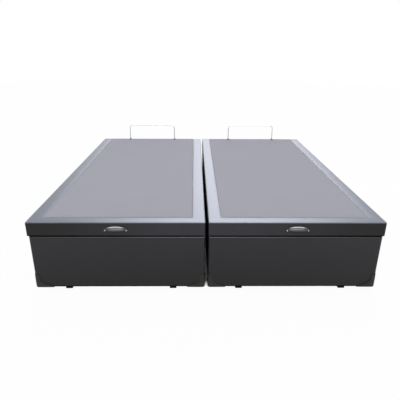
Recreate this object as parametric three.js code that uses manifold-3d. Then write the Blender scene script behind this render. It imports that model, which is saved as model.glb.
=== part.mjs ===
// A king-size ottoman storage bed base, made as two half boxes that stand side by side.
// Each half is an upholstered chest. Its padded lid is hinged at the head end and is carried by
// two gas struts. A cup handle at the foot end lifts it, and a bent metal bar at the head end
// stops the mattress from sliding off while the lid is up.
//
// Units are millimetres. +X runs to the right, +Y from the foot end to the head end, +Z up.
// The origin is on the floor, at the centre of the box that just holds the whole bed.
//
// A half is drawn in its own frame: u from the inner side (next to the other half) outwards,
// v from the foot end to the head end, and w up from the floor.
import * as THREE from "three";
import { mergeVertices } from "three/addons/utils/BufferGeometryUtils.js";
import Module from "manifold-3d";

const wasm = await Module();
wasm.setup();

// Fits
const seat = 0.3; // gap left between two pieces that rest on each other
const running = 0.6; // gap left round a piece that turns or slides

// The half box
const lidWidth = 965;
const lidLength = 2030;
const halfGap = 17; // between the two halves, at their lids
const baseHeight = 318; // from the base's underside to its top edge
const outerOverhang = 10; // how far the lid stands out over the base on its outer side
const innerOverhang = 2; // and on the side next to the other half

// Leather and boards
const leather = 2;
const baseCornerRadius = 12;
const lidCornerRadius = 10;
const wallBoard = 18;
const cornerPost = 38;
const bottomReturn = 30; // leather turned under the base
const lidReturn = 24; // leather turned under the lid
const softEdge = 2 * leather; // radius of the covers' edges, which their thickness limits

// The floor of the chest
const floorBoard = 6;
const bearerHeight = 45;
const bearerWidth = 84;
const bearerCount = 5;

// Feet
const footHeight = 47;
const footTopRadius = 25;
const footBottomRadius = 18.5;
const footCollar = 6;
const footCollarStep = 4; // how far the collar stands out over the cone
const innerFootInset = 182; // from the base's inner side to the foot's axis
const outerFootInset = 164; // and from its outer side
const footSetback = 72; // from the base's end to the foot's axis

// Corner guards
const guardWall = 3;
const guardHeight = 84; // up the corner, from the base's underside
const guardReach = 98; // along the foot end and along the side
const guardDrop = 5; // below the base's underside
const guardHem = 12; // height of its lower edge at the far tip
const guardWaist = 26; // its width near the top
const guardShoulder = 59; // the height from which its top is rounded
const guardFlange = 54; // how far its plate reaches under the base
const guardRound = 8; // radius of its lower edge

// Lid
const railHeight = 60;
const railThickness = 30;
const slatCount = 9;
const slatWidth = 70;
const slatThickness = 18;
const beamWidth = 36;
const lidBoard = 6;
const padThickness = 11;
const border = 1.5;
const borderWidth = 72;

// Handle
const handleWidth = 123;
const handleRise = 23;
const handleDepth = 21.5;
const handleWall = 2.2;
const handleFlange = 5;
const handleAboveSeam = 37;

// Mattress bar
const barDiameter = 9.5;
const barSpan = 441; // between the axes of its legs
const barRise = 141; // from the lid's top to the axis of the cross bar
const barBend = 30;
const barSetback = 18; // from the lid's head end to the axis of the legs
const barSocketDepth = 46;

// Hinge
const hingeEndGap = 32.5; // from each end of the hinge to the lid's side
const leafThickness = 1.5;
const leafHeight = 32;
const knuckleRadius = 5;
const pinRadius = 2.2;
const knuckleCount = 9;

// Gas struts
const strutClear = 24; // from the nearest wall or rail to the strut's axis
const lidStudFromHinge = 281;
const lidStudAboveSeam = 29;
const baseStudFromHinge = 189;
const baseStudAboveFloor = 55.7;
const ballRadius = 4.5;
const studRadius = 3;
const openPlay = 3.2; // room for the lid's ball in the cylinder's socket, the open pivot
const socketWall = 2;
const socketHalf = 7; // half the socket's width
const tubeRadius = 9;
const tubeWall = 1.4;
const tubeEnd = 6;
const rodRadius = 4;
const rodShown = 33; // bare rod between the cylinder and the rod's end, with the lid shut
const guideLength = 14;
const pistonLength = 12;
const endNeck = 4; // between a socket and the tube, or the bare rod
const tubeNeckRadius = 6;
const rodNeckRadius = 5.5;
const bracketPlate = 3;
const bracketWidth = 62;

// Levels, up from the floor
const baseBottom = footHeight;
const boardsBottom = baseBottom + leather + seat;
const baseTop = baseBottom + baseHeight;
const boardsTop = baseTop - leather - seat;
const floorTop = boardsBottom + bearerHeight + floorBoard;
const lidBottom = baseTop + seat;
const railBottom = lidBottom + leather + seat;
const railTop = railBottom + railHeight;
const slatBottom = railTop - slatThickness;
const lidBoardBottom = railTop + seat;
const padBottom = lidBoardBottom + lidBoard + seat;
const padTop = padBottom + padThickness;
const borderBottom = padTop + seat;
const lidTop = borderBottom + border;

// Places across the half, from its inner side
const baseInner = innerOverhang;
const baseOuter = lidWidth - outerOverhang;
const skin = leather + seat; // from an upholstered face to the boards behind it
const innerWallFace = baseInner + skin + wallBoard;
const outerWallFace = baseOuter - skin - wallBoard;
const railInset = skin + railThickness;
const innerRailFace = railInset;
const outerRailFace = lidWidth - railInset;
const middle = lidWidth / 2;
const innerStrut = Math.max(innerWallFace, innerRailFace) + strutClear;
const outerStrut = Math.min(outerWallFace, outerRailFace) - strutClear;

// The hinge's length and axis, and the strut's two pivots in the plane of v and w
const hingeLength = lidWidth - 2 * hingeEndGap;
const hingeV = lidLength + seat + knuckleRadius;
const hingeW = baseTop;
const lidStud = { v: hingeV - lidStudFromHinge, w: hingeW + lidStudAboveSeam };
const baseStud = { v: hingeV - baseStudFromHinge, w: floorTop + baseStudAboveFloor };
const strutLength = Math.hypot(lidStud.v - baseStud.v, lidStud.w - baseStud.w);
const bracketHeight = 2 * (slatBottom - seat - lidStud.w); // it ends just under the slats

// How far the bed reaches in front of its foot end and behind its head end
const frontReach = seat + handleDepth;
const rearReach = seat + 2 * knuckleRadius;
const footEndY = -(lidLength + rearReach - frontReach) / 2;

// Finishes
const finish = (color, roughness, metalness = 0) =>
  new THREE.MeshStandardMaterial({ color, roughness, metalness, flatShading: true });
const darkLeather = finish("#38383a", 0.5);
const borderLeather = finish("#b4bac4", 0.42);
const deckFabric = finish("#a5a5af", 0.95);
const pine = finish("#c8a878", 0.75);
const chestBoard = finish("#a98a66", 0.8);
const hardboard = finish("#8a6440", 0.7);
const blackPlastic = finish("#1b1b1b", 0.55);
const satinNickel = finish("#a3a4ab", 0.3, 1);
const chrome = finish("#d8dade", 0.12, 1);
const zincSteel = finish("#b4b4b0", 0.4, 1);
const blackSteel = finish("#1c1d1f", 0.35, 0.6);

// Solids

function solid(geometry) {
  geometry.deleteAttribute("normal");
  geometry.deleteAttribute("uv");
  const merged = mergeVertices(geometry, 1e-4);
  return new wasm.Manifold(
    new wasm.Mesh({
      numProp: 3,
      vertProperties: merged.attributes.position.array,
      triVerts: new Uint32Array(merged.index.array),
    }),
  );
}

function geometryOf(body) {
  const { vertProperties, triVerts } = body.getMesh();
  const geometry = new THREE.BufferGeometry();
  geometry.setAttribute("position", new THREE.BufferAttribute(vertProperties, 3));
  geometry.setIndex(new THREE.BufferAttribute(triVerts, 1));
  geometry.computeVertexNormals();
  return geometry;
}

function block(u0, u1, v0, v1, w0, w1) {
  const box = new THREE.BoxGeometry(u1 - u0, v1 - v0, w1 - w0);
  return solid(box.translate((u0 + u1) / 2, (v0 + v1) / 2, (w0 + w1) / 2));
}

function roundedOutline(u0, u1, v0, v1, radius) {
  const outline = new THREE.Shape();
  outline.moveTo(u0 + radius, v0);
  outline.lineTo(u1 - radius, v0);
  outline.absarc(u1 - radius, v0 + radius, radius, -Math.PI / 2, 0);
  outline.lineTo(u1, v1 - radius);
  outline.absarc(u1 - radius, v1 - radius, radius, 0, Math.PI / 2);
  outline.lineTo(u0 + radius, v1);
  outline.absarc(u0 + radius, v1 - radius, radius, Math.PI / 2, Math.PI);
  outline.lineTo(u0, v0 + radius);
  outline.absarc(u0 + radius, v0 + radius, radius, Math.PI, 1.5 * Math.PI);
  return outline;
}

// A plate or block with rounded upright corners
function slab(u0, u1, v0, v1, radius, w0, w1) {
  const outline = roundedOutline(u0, u1, v0, v1, radius);
  const options = { depth: w1 - w0, bevelEnabled: false, curveSegments: 3 };
  return solid(new THREE.ExtrudeGeometry(outline, options).translate(0, 0, w0));
}

// The same with its upper and lower edges rounded too
function softSlab(u0, u1, v0, v1, radius, edge, w0, w1) {
  const outline = roundedOutline(u0, u1, v0, v1, radius);
  const options = {
    depth: w1 - w0 - 2 * edge,
    bevelThickness: edge,
    bevelSize: edge,
    bevelOffset: -edge,
    bevelSegments: 2,
    curveSegments: 3,
  };
  return solid(new THREE.ExtrudeGeometry(outline, options).translate(0, 0, w0 + edge));
}

// A round bar along X, Y or Z that starts at a point
function rod(axis, radius, length, start, sides = 10) {
  const bar = new THREE.CylinderGeometry(radius, radius, length, sides);
  bar.translate(0, length / 2, 0);
  if (axis === "x") bar.rotateZ(-Math.PI / 2);
  if (axis === "z") bar.rotateX(Math.PI / 2);
  return solid(bar.translate(...start));
}

function lathe(points, sides = 12) {
  const profile = points.map(([radius, along]) => new THREE.Vector2(radius, along));
  return solid(new THREE.LatheGeometry(profile, sides));
}

// The upholstered outlines: everything inside a cover stops one skin behind its face
const basePlan = (inset, w0, w1) =>
  slab(baseInner + inset, baseOuter - inset, inset, lidLength - inset,
    Math.max(baseCornerRadius - inset, 1), w0, w1);
const lidPlan = (inset, w0, w1) =>
  slab(inset, lidWidth - inset, inset, lidLength - inset,
    Math.max(lidCornerRadius - inset, 1), w0, w1);

// Chest

function baseSide(u0, u1) {
  return block(u0, u1, 0, lidLength, boardsBottom, boardsTop).intersect(
    basePlan(skin, boardsBottom, boardsTop),
  );
}

// An end board with the two corner posts nailed to it
function baseEnd(atHead) {
  const u0 = innerWallFace + seat;
  const u1 = outerWallFace - seat;
  const face = atHead ? lidLength - skin : skin;
  const inwards = atHead ? -1 : 1;
  const span = (from, to) => [face + inwards * from, face + inwards * to].sort((a, b) => a - b);
  const board = block(u0, u1, ...span(0, wallBoard), boardsBottom, boardsTop);
  const postSpan = span(wallBoard / 2, wallBoard + cornerPost);
  const postBottom = floorTop + seat;
  const innerPost = block(u0, u0 + cornerPost, ...postSpan, postBottom, boardsTop);
  const outerPost = block(u1 - cornerPost, u1, ...postSpan, postBottom, boardsTop);
  return board.add(innerPost).add(outerPost);
}

// The floor board with the cross bearers glued under it; the feet screw into the end bearers
function floorPanel() {
  const u0 = innerWallFace + seat;
  const u1 = outerWallFace - seat;
  const ends = skin + wallBoard + seat;
  const underBoard = floorTop - floorBoard;
  let panel = block(u0, u1, ends, lidLength - ends, underBoard, floorTop);
  const run = lidLength - 2 * footSetback;
  for (let i = 0; i < bearerCount; i += 1) {
    const centre = footSetback + (run * i) / (bearerCount - 1);
    const v0 = Math.max(centre - bearerWidth / 2, ends);
    const v1 = Math.min(centre + bearerWidth / 2, lidLength - ends);
    panel = panel.add(block(u0, u1, v0, v1, boardsBottom, underBoard + 1));
  }
  return panel;
}

// Leather round all four walls, turned in over their top edge and under their bottom edge
function baseCover() {
  const shell = softSlab(
    baseInner, baseOuter, 0, lidLength, baseCornerRadius, softEdge, baseBottom, baseTop,
  ).subtract(basePlan(leather, baseBottom + leather, baseTop - leather));
  const topIn = skin + wallBoard;
  const topOpening = block(
    baseInner + topIn, baseOuter - topIn, topIn, lidLength - topIn,
    baseTop - 2 * leather, baseTop + leather,
  );
  const bottomOpening = block(
    baseInner + bottomReturn, baseOuter - bottomReturn, bottomReturn, lidLength - bottomReturn,
    baseBottom - leather, baseBottom + 2 * leather,
  );
  return shell.subtract(topOpening).subtract(bottomOpening);
}

// The guard's outline on one face: tall at the corner, swept down to a long low tip
function guardOutline(outside) {
  const tipTop = guardHem - guardDrop;
  const outline = new THREE.Shape();
  outline.moveTo(-outside - 1, -guardDrop);
  outline.lineTo(guardReach, -guardDrop);
  outline.lineTo(guardReach, tipTop);
  outline.quadraticCurveTo(guardWaist, tipTop + guardHem, guardWaist, guardShoulder);
  outline.quadraticCurveTo(guardWaist, guardHeight, guardWaist / 2, guardHeight);
  outline.lineTo(-outside - 1, guardHeight);
  return outline;
}

// A moulded plastic guard for a bottom corner at the foot end. It is drawn with the base's
// corner at the origin and the base's two faces along +u and +v.
function cornerGuard() {
  const outside = seat + guardWall;
  const beyond = guardReach + 2 * (baseCornerRadius + outside);
  const wrapTop = guardHeight + 2 * guardRound;
  const wrap = softSlab(-outside, beyond, -outside, beyond, baseCornerRadius + outside,
    guardRound, -guardDrop, wrapTop);
  const inside = slab(-seat, 2 * beyond, -seat, 2 * beyond, baseCornerRadius + seat,
    -seat, wrapTop + 1);
  const past = baseCornerRadius + seat;
  const options = { depth: past + outside + 1, bevelEnabled: false, curveSegments: 4 };
  const face = new THREE.ExtrudeGeometry(guardOutline(outside), options);
  const onEnd = solid(face.rotateX(Math.PI / 2).translate(0, past, 0));
  const onSide = onEnd.mirror([1, -1, 0]);
  const flange = slab(-outside, guardFlange, -outside, guardFlange, baseCornerRadius + outside,
    -seat - guardWall, -seat);
  return wrap.subtract(inside).intersect(onEnd.add(onSide)).add(flange);
}

function foot(u, v) {
  const top = boardsBottom - seat;
  const profile = [
    [0, 0],
    [footBottomRadius, 0],
    [footTopRadius - footCollarStep, top - footCollar],
    [footTopRadius, top - footCollar],
    [footTopRadius, top],
    [0, top],
  ];
  return lathe(profile, 14).rotate([90, 0, 0]).translate([u, v, 0]);
}

// Lid

function lidFrame() {
  const rails = lidPlan(skin, railBottom, railTop).subtract(
    block(innerRailFace, outerRailFace, railInset, lidLength - railInset,
      railBottom - 1, railTop + 1),
  );
  const beam = block(middle - beamWidth / 2, middle + beamWidth / 2, railInset - 1,
    lidLength - railInset + 1, railBottom, slatBottom + 1);
  let frame = rails.add(beam);
  const pitch = (lidLength - 2 * railInset + slatWidth) / (slatCount + 1);
  for (let i = 1; i <= slatCount; i += 1) {
    const centre = railInset - slatWidth / 2 + pitch * i;
    frame = frame.add(block(innerRailFace - 1, outerRailFace + 1, centre - slatWidth / 2,
      centre + slatWidth / 2, slatBottom, railTop));
  }
  return frame.subtract(barHoles(railTop - barSocketDepth));
}

// Upright holes for the legs of the mattress bar, from a level up through the lid's top
function barHoles(from) {
  const radius = barDiameter / 2 + running;
  const depth = lidTop + 1 - from;
  const v = lidLength - barSetback;
  const left = rod("z", radius, depth, [middle - barSpan / 2, v, from]);
  const right = rod("z", radius, depth, [middle + barSpan / 2, v, from]);
  return left.add(right);
}

function lidTopBoard() {
  return lidPlan(skin, lidBoardBottom, lidBoardBottom + lidBoard).subtract(
    barHoles(lidBoardBottom - 1),
  );
}

// A foam sheet with the deck fabric bonded to it; its middle stands up flush with the border
function lidPad() {
  const edge = borderWidth + seat;
  const sheet = lidPlan(skin, padBottom, padTop);
  const deck = block(edge, lidWidth - edge, edge, lidLength - edge, padTop - 1, lidTop);
  return sheet.add(deck).subtract(barHoles(padBottom - 1));
}

// The lid's whole outside, between two levels
function lidOutside(w0, w1) {
  const whole = softSlab(0, lidWidth, 0, lidLength, lidCornerRadius, softEdge, lidBottom, lidTop);
  return whole.intersect(block(-1, lidWidth + 1, -1, lidLength + 1, w0, w1));
}

function lidBorder() {
  const opening = block(borderWidth, lidWidth - borderWidth, borderWidth,
    lidLength - borderWidth, borderBottom - 1, lidTop + 1);
  const sheet = lidOutside(borderBottom, lidTop + 1);
  return sheet.subtract(opening).subtract(barHoles(borderBottom - 1));
}

// Leather round the lid's four edges, turned in under its rails
function lidBand() {
  const bandTop = borderBottom - seat;
  const shell = lidOutside(lidBottom - 1, bandTop).subtract(
    lidPlan(leather, lidBottom + leather, bandTop + 1),
  );
  const opening = block(lidReturn, lidWidth - lidReturn, lidReturn, lidLength - lidReturn,
    lidBottom - 1, lidBottom + 2 * leather);
  return shell.subtract(opening);
}

// Half an ellipsoid with its flat side on the lid's foot end and its underside open
function cup(halfWidth, rise, depth, u, w) {
  const ball = new THREE.SphereGeometry(1, 20, 12);
  return solid(ball.scale(halfWidth, depth, rise).translate(u, 0, w));
}

function handle() {
  const w = lidBottom + handleAboveSeam;
  const domeHalf = handleWidth / 2 - handleFlange;
  const domeRise = handleRise - handleFlange;
  const face = -seat;
  const front = block(0, lidWidth, -handleDepth * 2, face, w, w + handleRise * 2);
  const outer = cup(domeHalf, domeRise, handleDepth + seat, middle, w);
  const inner = cup(domeHalf - handleWall, domeRise - handleWall,
    handleDepth + seat - handleWall, middle, w);
  const flangeFront = block(0, lidWidth, face - handleWall, face, w, w + handleRise * 2);
  const flange = cup(handleWidth / 2, handleRise, handleDepth * 4, middle, w).intersect(flangeFront);
  return outer.intersect(front).add(flange).subtract(inner);
}

// A round bar bent in one upright plane: a ring at each point, square to the path there
function bentBar(points, radius, v, sides = 10) {
  const vertices = [];
  points.forEach((point, i) => {
    const before = points[Math.max(i - 1, 0)];
    const after = points[Math.min(i + 1, points.length - 1)];
    const along = after.clone().sub(before).normalize();
    for (let k = 0; k < sides; k += 1) {
      const turn = (2 * Math.PI * k) / sides;
      const out = radius * Math.cos(turn);
      vertices.push(point.x + along.y * out, v + radius * Math.sin(turn), point.y - along.x * out);
    }
  });
  const faces = [];
  for (let i = 0; i < points.length - 1; i += 1) {
    for (let k = 0; k < sides; k += 1) {
      const here = i * sides + k;
      const beside = i * sides + ((k + 1) % sides);
      faces.push(here, beside, beside + sides, here, beside + sides, here + sides);
    }
  }
  const last = (points.length - 1) * sides;
  for (let k = 1; k < sides - 1; k += 1) {
    faces.push(0, k + 1, k, last, last + k, last + k + 1);
  }
  return new wasm.Manifold(
    new wasm.Mesh({
      numProp: 3,
      vertProperties: new Float32Array(vertices),
      triVerts: new Uint32Array(faces),
    }),
  );
}

function mattressBar() {
  const low = railTop - barSocketDepth + running;
  const bendLevel = lidTop + barRise - barBend;
  const leftLeg = middle - barSpan / 2;
  const rightLeg = middle + barSpan / 2;
  const path = new THREE.Path();
  path.moveTo(leftLeg, low);
  path.lineTo(leftLeg, bendLevel);
  path.absarc(leftLeg + barBend, bendLevel, barBend, Math.PI, Math.PI / 2, true);
  path.absarc(rightLeg - barBend, bendLevel, barBend, Math.PI / 2, 0, true);
  path.lineTo(rightLeg, low);
  return bentBar(path.getPoints(3), barDiameter / 2, lidLength - barSetback);
}

// Hinge

// One leaf of the long hinge: a plate on one side of the axis and every other knuckle on it
function hingeLeaf(onLid) {
  const up = onLid ? 1 : -1;
  const u0 = middle - hingeLength / 2;
  const pitch = hingeLength / knuckleCount;
  const plateV = lidLength + seat;
  const level = (distance) => hingeW + up * distance;
  const span = (a, b) => [Math.min(level(a), level(b)), Math.max(level(a), level(b))];
  const clear = knuckleRadius + running;
  let leaf = block(u0, u0 + hingeLength, plateV, plateV + leafThickness, ...span(clear, leafHeight));
  for (let i = onLid ? 1 : 0; i < knuckleCount; i += 2) {
    const start = u0 + pitch * i + running / 2;
    const length = pitch - running;
    leaf = leaf.add(block(start, start + length, plateV, plateV + leafThickness, ...span(0, clear + 1)));
    leaf = leaf.add(rod("x", knuckleRadius, length, [start, hingeV, hingeW]));
  }
  return leaf.subtract(rod("x", pinRadius + running, hingeLength + 2, [u0 - 1, hingeV, hingeW]));
}

function hingePin() {
  return rod("x", pinRadius, hingeLength, [middle - hingeLength / 2, hingeV, hingeW]);
}

// Gas struts

// A plate on a wall or a rail, with a ball on a stud that stands off it to the strut's plane
function ballBracket(face, strut, at) {
  const away = Math.sign(strut - face);
  const back = face + away * seat;
  const front = back + away * bracketPlate;
  const plate = block(Math.min(back, front), Math.max(back, front), at.v - bracketWidth / 2,
    at.v + bracketWidth / 2, at.w - bracketHeight / 2, at.w + bracketHeight / 2);
  const studStart = Math.min(front - away, strut);
  const stud = rod("x", studRadius, Math.abs(strut - front) + 1, [studStart, at.v, at.w]);
  const ball = solid(new THREE.SphereGeometry(ballRadius, 10, 6).rotateZ(Math.PI / 2));
  return plate.add(stud).add(ball.translate([strut, at.v, at.w]));
}

// A strut piece is drawn along +Y from a pivot and is turned to lie between the two studs.
// Its socket opens towards the wall, on side +1 (outwards) or -1.
function ballSocket(innerRadius, side) {
  const body = rod("x", innerRadius + socketWall, 2 * socketHalf, [-socketHalf, 0, 0]);
  const from = side > 0 ? socketWall - socketHalf : -socketHalf - 1;
  const recess = rod("x", innerRadius, 2 * socketHalf - socketWall + 1, [from, 0, 0]);
  return { body, recess, neckStart: innerRadius + socketWall / 2 };
}

function alongStrut(body, strut, from, to) {
  const angle = (Math.atan2(to.w - from.w, to.v - from.v) * 180) / Math.PI;
  return body.rotate([angle, 0, 0]).translate([strut, from.v, from.w]);
}

const rodSocketRadius = ballRadius + 2 * seat;
const tubeSocketRadius = ballRadius + openPlay + 2 * seat;
const tubeStart = tubeSocketRadius + socketWall + endNeck;
const rodEndLength = rodSocketRadius + socketWall + endNeck;
const tubeLength = strutLength - tubeStart - rodEndLength - rodShown;

// The cylinder hangs from the lid's ball and its mouth points down
function strutCylinder(strut, side) {
  const socket = ballSocket(tubeSocketRadius, side);
  const inside = tubeRadius - tubeWall;
  const guide = rodRadius + running;
  const tube = lathe([
    [0, 0],
    [tubeRadius, 0],
    [tubeRadius, tubeLength],
    [guide, tubeLength],
    [guide, tubeLength - guideLength],
    [inside, tubeLength - guideLength],
    [inside, tubeEnd],
    [0, tubeEnd],
  ]).translate([0, tubeStart, 0]);
  const neckLength = tubeStart + 1 - socket.neckStart;
  const neck = rod("y", tubeNeckRadius, neckLength, [0, socket.neckStart, 0]);
  const body = tube.add(neck).add(socket.body).subtract(socket.recess);
  return alongStrut(body, strut, lidStud, baseStud);
}

// The rod stands on the base's ball and carries the piston inside the cylinder
function strutRod(strut, side) {
  const socket = ballSocket(rodSocketRadius, side);
  const pistonTop = strutLength - tubeStart - tubeEnd - 2 * seat;
  const stem = rod("y", rodRadius, pistonTop - socket.neckStart, [0, socket.neckStart, 0]);
  const pistonRadius = tubeRadius - tubeWall - seat;
  const piston = rod("y", pistonRadius, pistonLength, [0, pistonTop - pistonLength, 0]);
  const neckLength = rodEndLength - socket.neckStart;
  const neck = rod("y", rodNeckRadius, neckLength, [0, socket.neckStart, 0]);
  const body = stem.add(piston).add(neck).add(socket.body).subtract(socket.recess);
  return alongStrut(body, strut, baseStud, lidStud);
}

// Assembly

function half(side) {
  const group = new THREE.Group();
  const add = (name, body, material) => {
    const piece = new THREE.Mesh(geometryOf(body), material);
    piece.name = `${side}_${name}`;
    group.add(piece);
  };

  add("base_side_inner", baseSide(baseInner, innerWallFace), chestBoard);
  add("base_side_outer", baseSide(outerWallFace, baseOuter), chestBoard);
  add("base_head_board", baseEnd(true), chestBoard);
  add("base_foot_board", baseEnd(false), chestBoard);
  add("floor_panel", floorPanel(), hardboard);
  add("base_cover", baseCover(), darkLeather);
  const guard = cornerGuard();
  add("corner_guard_inner", guard.translate([baseInner, 0, baseBottom]), blackPlastic);
  const mirrored = guard.mirror([1, 0, 0]);
  add("corner_guard_outer", mirrored.translate([baseOuter, 0, baseBottom]), blackPlastic);

  const innerFoot = baseInner + innerFootInset;
  const outerFoot = baseOuter - outerFootInset;
  add("foot_front_inner", foot(innerFoot, footSetback), blackPlastic);
  add("foot_front_outer", foot(outerFoot, footSetback), blackPlastic);
  add("foot_rear_inner", foot(innerFoot, lidLength - footSetback), blackPlastic);
  add("foot_rear_outer", foot(outerFoot, lidLength - footSetback), blackPlastic);

  add("lid_frame", lidFrame(), pine);
  add("lid_board", lidTopBoard(), hardboard);
  add("lid_pad", lidPad(), deckFabric);
  add("lid_border", lidBorder(), borderLeather);
  add("lid_band", lidBand(), darkLeather);
  add("handle", handle(), satinNickel);
  add("mattress_bar", mattressBar(), chrome);

  add("hinge_base_leaf", hingeLeaf(false), zincSteel);
  add("hinge_lid_leaf", hingeLeaf(true), zincSteel);
  add("hinge_pin", hingePin(), zincSteel);

  const struts = [
    { place: "inner", strut: innerStrut, wall: innerWallFace, rail: innerRailFace },
    { place: "outer", strut: outerStrut, wall: outerWallFace, rail: outerRailFace },
  ];
  for (const { place, strut, wall, rail } of struts) {
    const open = Math.sign(wall - strut);
    add(`strut_base_bracket_${place}`, ballBracket(wall, strut, baseStud), zincSteel);
    add(`strut_lid_bracket_${place}`, ballBracket(rail, strut, lidStud), zincSteel);
    add(`strut_cylinder_${place}`, strutCylinder(strut, open), blackSteel);
    add(`strut_rod_${place}`, strutRod(strut, open), zincSteel);
  }
  return group;
}

const bed = new THREE.Group();
const right = half("right");
right.position.set(halfGap / 2, footEndY, 0);
const left = half("left");
left.position.set(-halfGap / 2, footEndY, 0);
left.scale.x = -1;
bed.add(left, right);

export default bed;
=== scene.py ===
# %% [markdown]
# # A storage bed base in two halves, dressed in Blender
#
# The bed is two long upholstered chests that stand side by side. Each has a padded lid that is
# hinged at the head end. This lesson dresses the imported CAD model: the boards keep their CAD
# shapes and get wood finishes, and everything that is sewn, moulded, bent or turned is modelled
# again here, finer than the CAD holds it. Sizes are in metres, and the foot end faces -Y.

import math

import bmesh
import bpy
from mathutils import Matrix, Vector, noise


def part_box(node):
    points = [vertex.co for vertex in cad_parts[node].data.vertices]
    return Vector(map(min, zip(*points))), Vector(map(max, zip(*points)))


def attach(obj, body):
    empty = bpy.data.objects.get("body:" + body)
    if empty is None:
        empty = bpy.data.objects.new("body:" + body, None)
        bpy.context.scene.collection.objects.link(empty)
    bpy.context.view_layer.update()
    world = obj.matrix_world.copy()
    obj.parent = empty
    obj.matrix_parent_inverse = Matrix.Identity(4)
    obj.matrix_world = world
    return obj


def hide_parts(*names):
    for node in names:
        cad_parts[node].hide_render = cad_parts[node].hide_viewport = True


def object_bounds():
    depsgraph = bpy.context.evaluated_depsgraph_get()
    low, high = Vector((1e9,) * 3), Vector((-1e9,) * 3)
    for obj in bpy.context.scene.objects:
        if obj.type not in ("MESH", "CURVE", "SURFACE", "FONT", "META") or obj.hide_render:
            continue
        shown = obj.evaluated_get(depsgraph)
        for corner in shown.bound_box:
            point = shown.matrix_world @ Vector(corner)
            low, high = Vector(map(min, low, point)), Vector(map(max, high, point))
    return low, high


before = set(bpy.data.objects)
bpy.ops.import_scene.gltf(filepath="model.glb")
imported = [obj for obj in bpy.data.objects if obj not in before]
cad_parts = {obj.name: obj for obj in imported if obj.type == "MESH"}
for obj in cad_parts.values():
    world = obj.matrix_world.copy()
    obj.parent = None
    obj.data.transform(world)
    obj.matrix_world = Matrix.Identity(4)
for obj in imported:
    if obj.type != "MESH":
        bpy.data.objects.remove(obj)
cad_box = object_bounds()
print("CAD nodes:", len(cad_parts))

# %% [markdown]
# ## Where things are
#
# Only the right half is drawn. The left half is its mirror image, as the two real halves are.

# %% Sizes and places of the right half
MM = 0.001
SIDES = {"right": 1, "left": -1}

SEAT = 0.3 * MM  # the gap that the CAD leaves between two pieces that rest on each other
LEATHER = 2 * MM
WALL_BOARD = 18 * MM
BASE_CORNER = 12 * MM
LID_CORNER = 10 * MM
BORDER_WIDTH = 72 * MM
SKIN = LEATHER + SEAT

cover_lo, cover_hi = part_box("right_base_cover")
band_lo, band_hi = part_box("right_lid_band")
border_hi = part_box("right_lid_border")[1]
pad_lo, pad_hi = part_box("right_lid_pad")
bar_lo, bar_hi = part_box("right_mattress_bar")
handle_lo, handle_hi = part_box("right_handle")

lid_lo = Vector(band_lo)
lid_hi = Vector((band_hi.x, band_hi.y, border_hi.z))
lid_top = lid_hi.z
lid_middle = (lid_lo.x + lid_hi.x) / 2
print("one lid, in mm:", [round(side / MM, 1) for side in lid_hi - lid_lo])

# %% [markdown]
# ## Small tools for meshes
#
# Most pieces start as a box, a circle or a short profile. `bmesh` operators then bevel, cut,
# extrude or spin it. Cutting a box with many parallel planes is a simple way to give flat
# leather enough points to ripple, without making any list of points by hand.

# %% Tools: boxes, cuts and noise
def add_box(bm, lo, hi):
    """Adds a box between two corners and gives its points."""
    lo, hi = Vector(lo), Vector(hi)
    made = bmesh.ops.create_cube(bm, size=1.0)["verts"]
    bmesh.ops.scale(bm, vec=hi - lo, verts=made)
    bmesh.ops.translate(bm, vec=(hi + lo) / 2, verts=made)
    return made


def runs_along(edge, axis):
    """Whether an edge is parallel to X (0), Y (1) or Z (2)."""
    way = edge.verts[1].co - edge.verts[0].co
    return abs(way[axis]) > 0.999 * way.length


def round_edges(bm, edges, radius, segments):
    """Bevels these edges to a radius."""
    bmesh.ops.bevel(
        bm, geom=edges, offset=radius, offset_type="OFFSET", segments=segments,
        profile=0.5, affect="EDGES", clamp_overlap=True, material=-1,
    )


def rounded_box(lo, hi, corner, top_edge, bottom_edge, corner_steps=8, edge_steps=4):
    """A box with rounded upright corners, and its own radius for the top and bottom edges."""
    bm = bmesh.new()
    add_box(bm, lo, hi)
    round_edges(bm, [e for e in bm.edges if runs_along(e, 2)], corner, corner_steps)
    for level, radius in ((hi[2], top_edge), (lo[2], bottom_edge)):
        rim = [e for e in bm.edges if all(abs(v.co.z - level) < 1e-6 for v in e.verts)]
        round_edges(bm, rim, radius, edge_steps)
    return bm


def slice_at(bm, axis, places):
    """Cuts the whole mesh with planes square to an axis."""
    normal = [0, 0, 0]
    normal[axis] = 1
    for place in places:
        point = [0, 0, 0]
        point[axis] = place
        everything = bm.verts[:] + bm.edges[:] + bm.faces[:]
        bmesh.ops.bisect_plane(bm, geom=everything, dist=1e-6, plane_co=point, plane_no=normal)


def between(lo, hi, pitch):
    """Evenly spaced places between two ends, which are left out."""
    count = max(round((hi - lo) / pitch), 1)
    return [lo + (hi - lo) * i / count for i in range(1, count)]


def delete_faces(bm, test):
    """Deletes the faces whose middle passes the test."""
    gone = [face for face in bm.faces if test(face.calc_center_median())]
    bmesh.ops.delete(bm, geom=gone, context="FACES")


def within(point, lo, hi, inset):
    """Whether a point lies inside a plan that is inset from two corners."""
    across = lo.x + inset < point.x < hi.x - inset
    return across and lo.y + inset < point.y < hi.y - inset


def from_rim(x, y, lo, hi):
    """How far a place lies inside the nearest side of a plan."""
    return min(x - lo.x, hi.x - x, y - lo.y, hi.y - y)


def ramp(value, length):
    """Rises evenly from 0 to 1 while the value goes from 0 to a length."""
    return min(max(value / length, 0), 1)


def wave(point, size, seed):
    """Smooth noise from -1 to 1, with bumps about as wide as size."""
    return noise.noise(Vector(point) / size + Vector((seed, 0, 0)))


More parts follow.
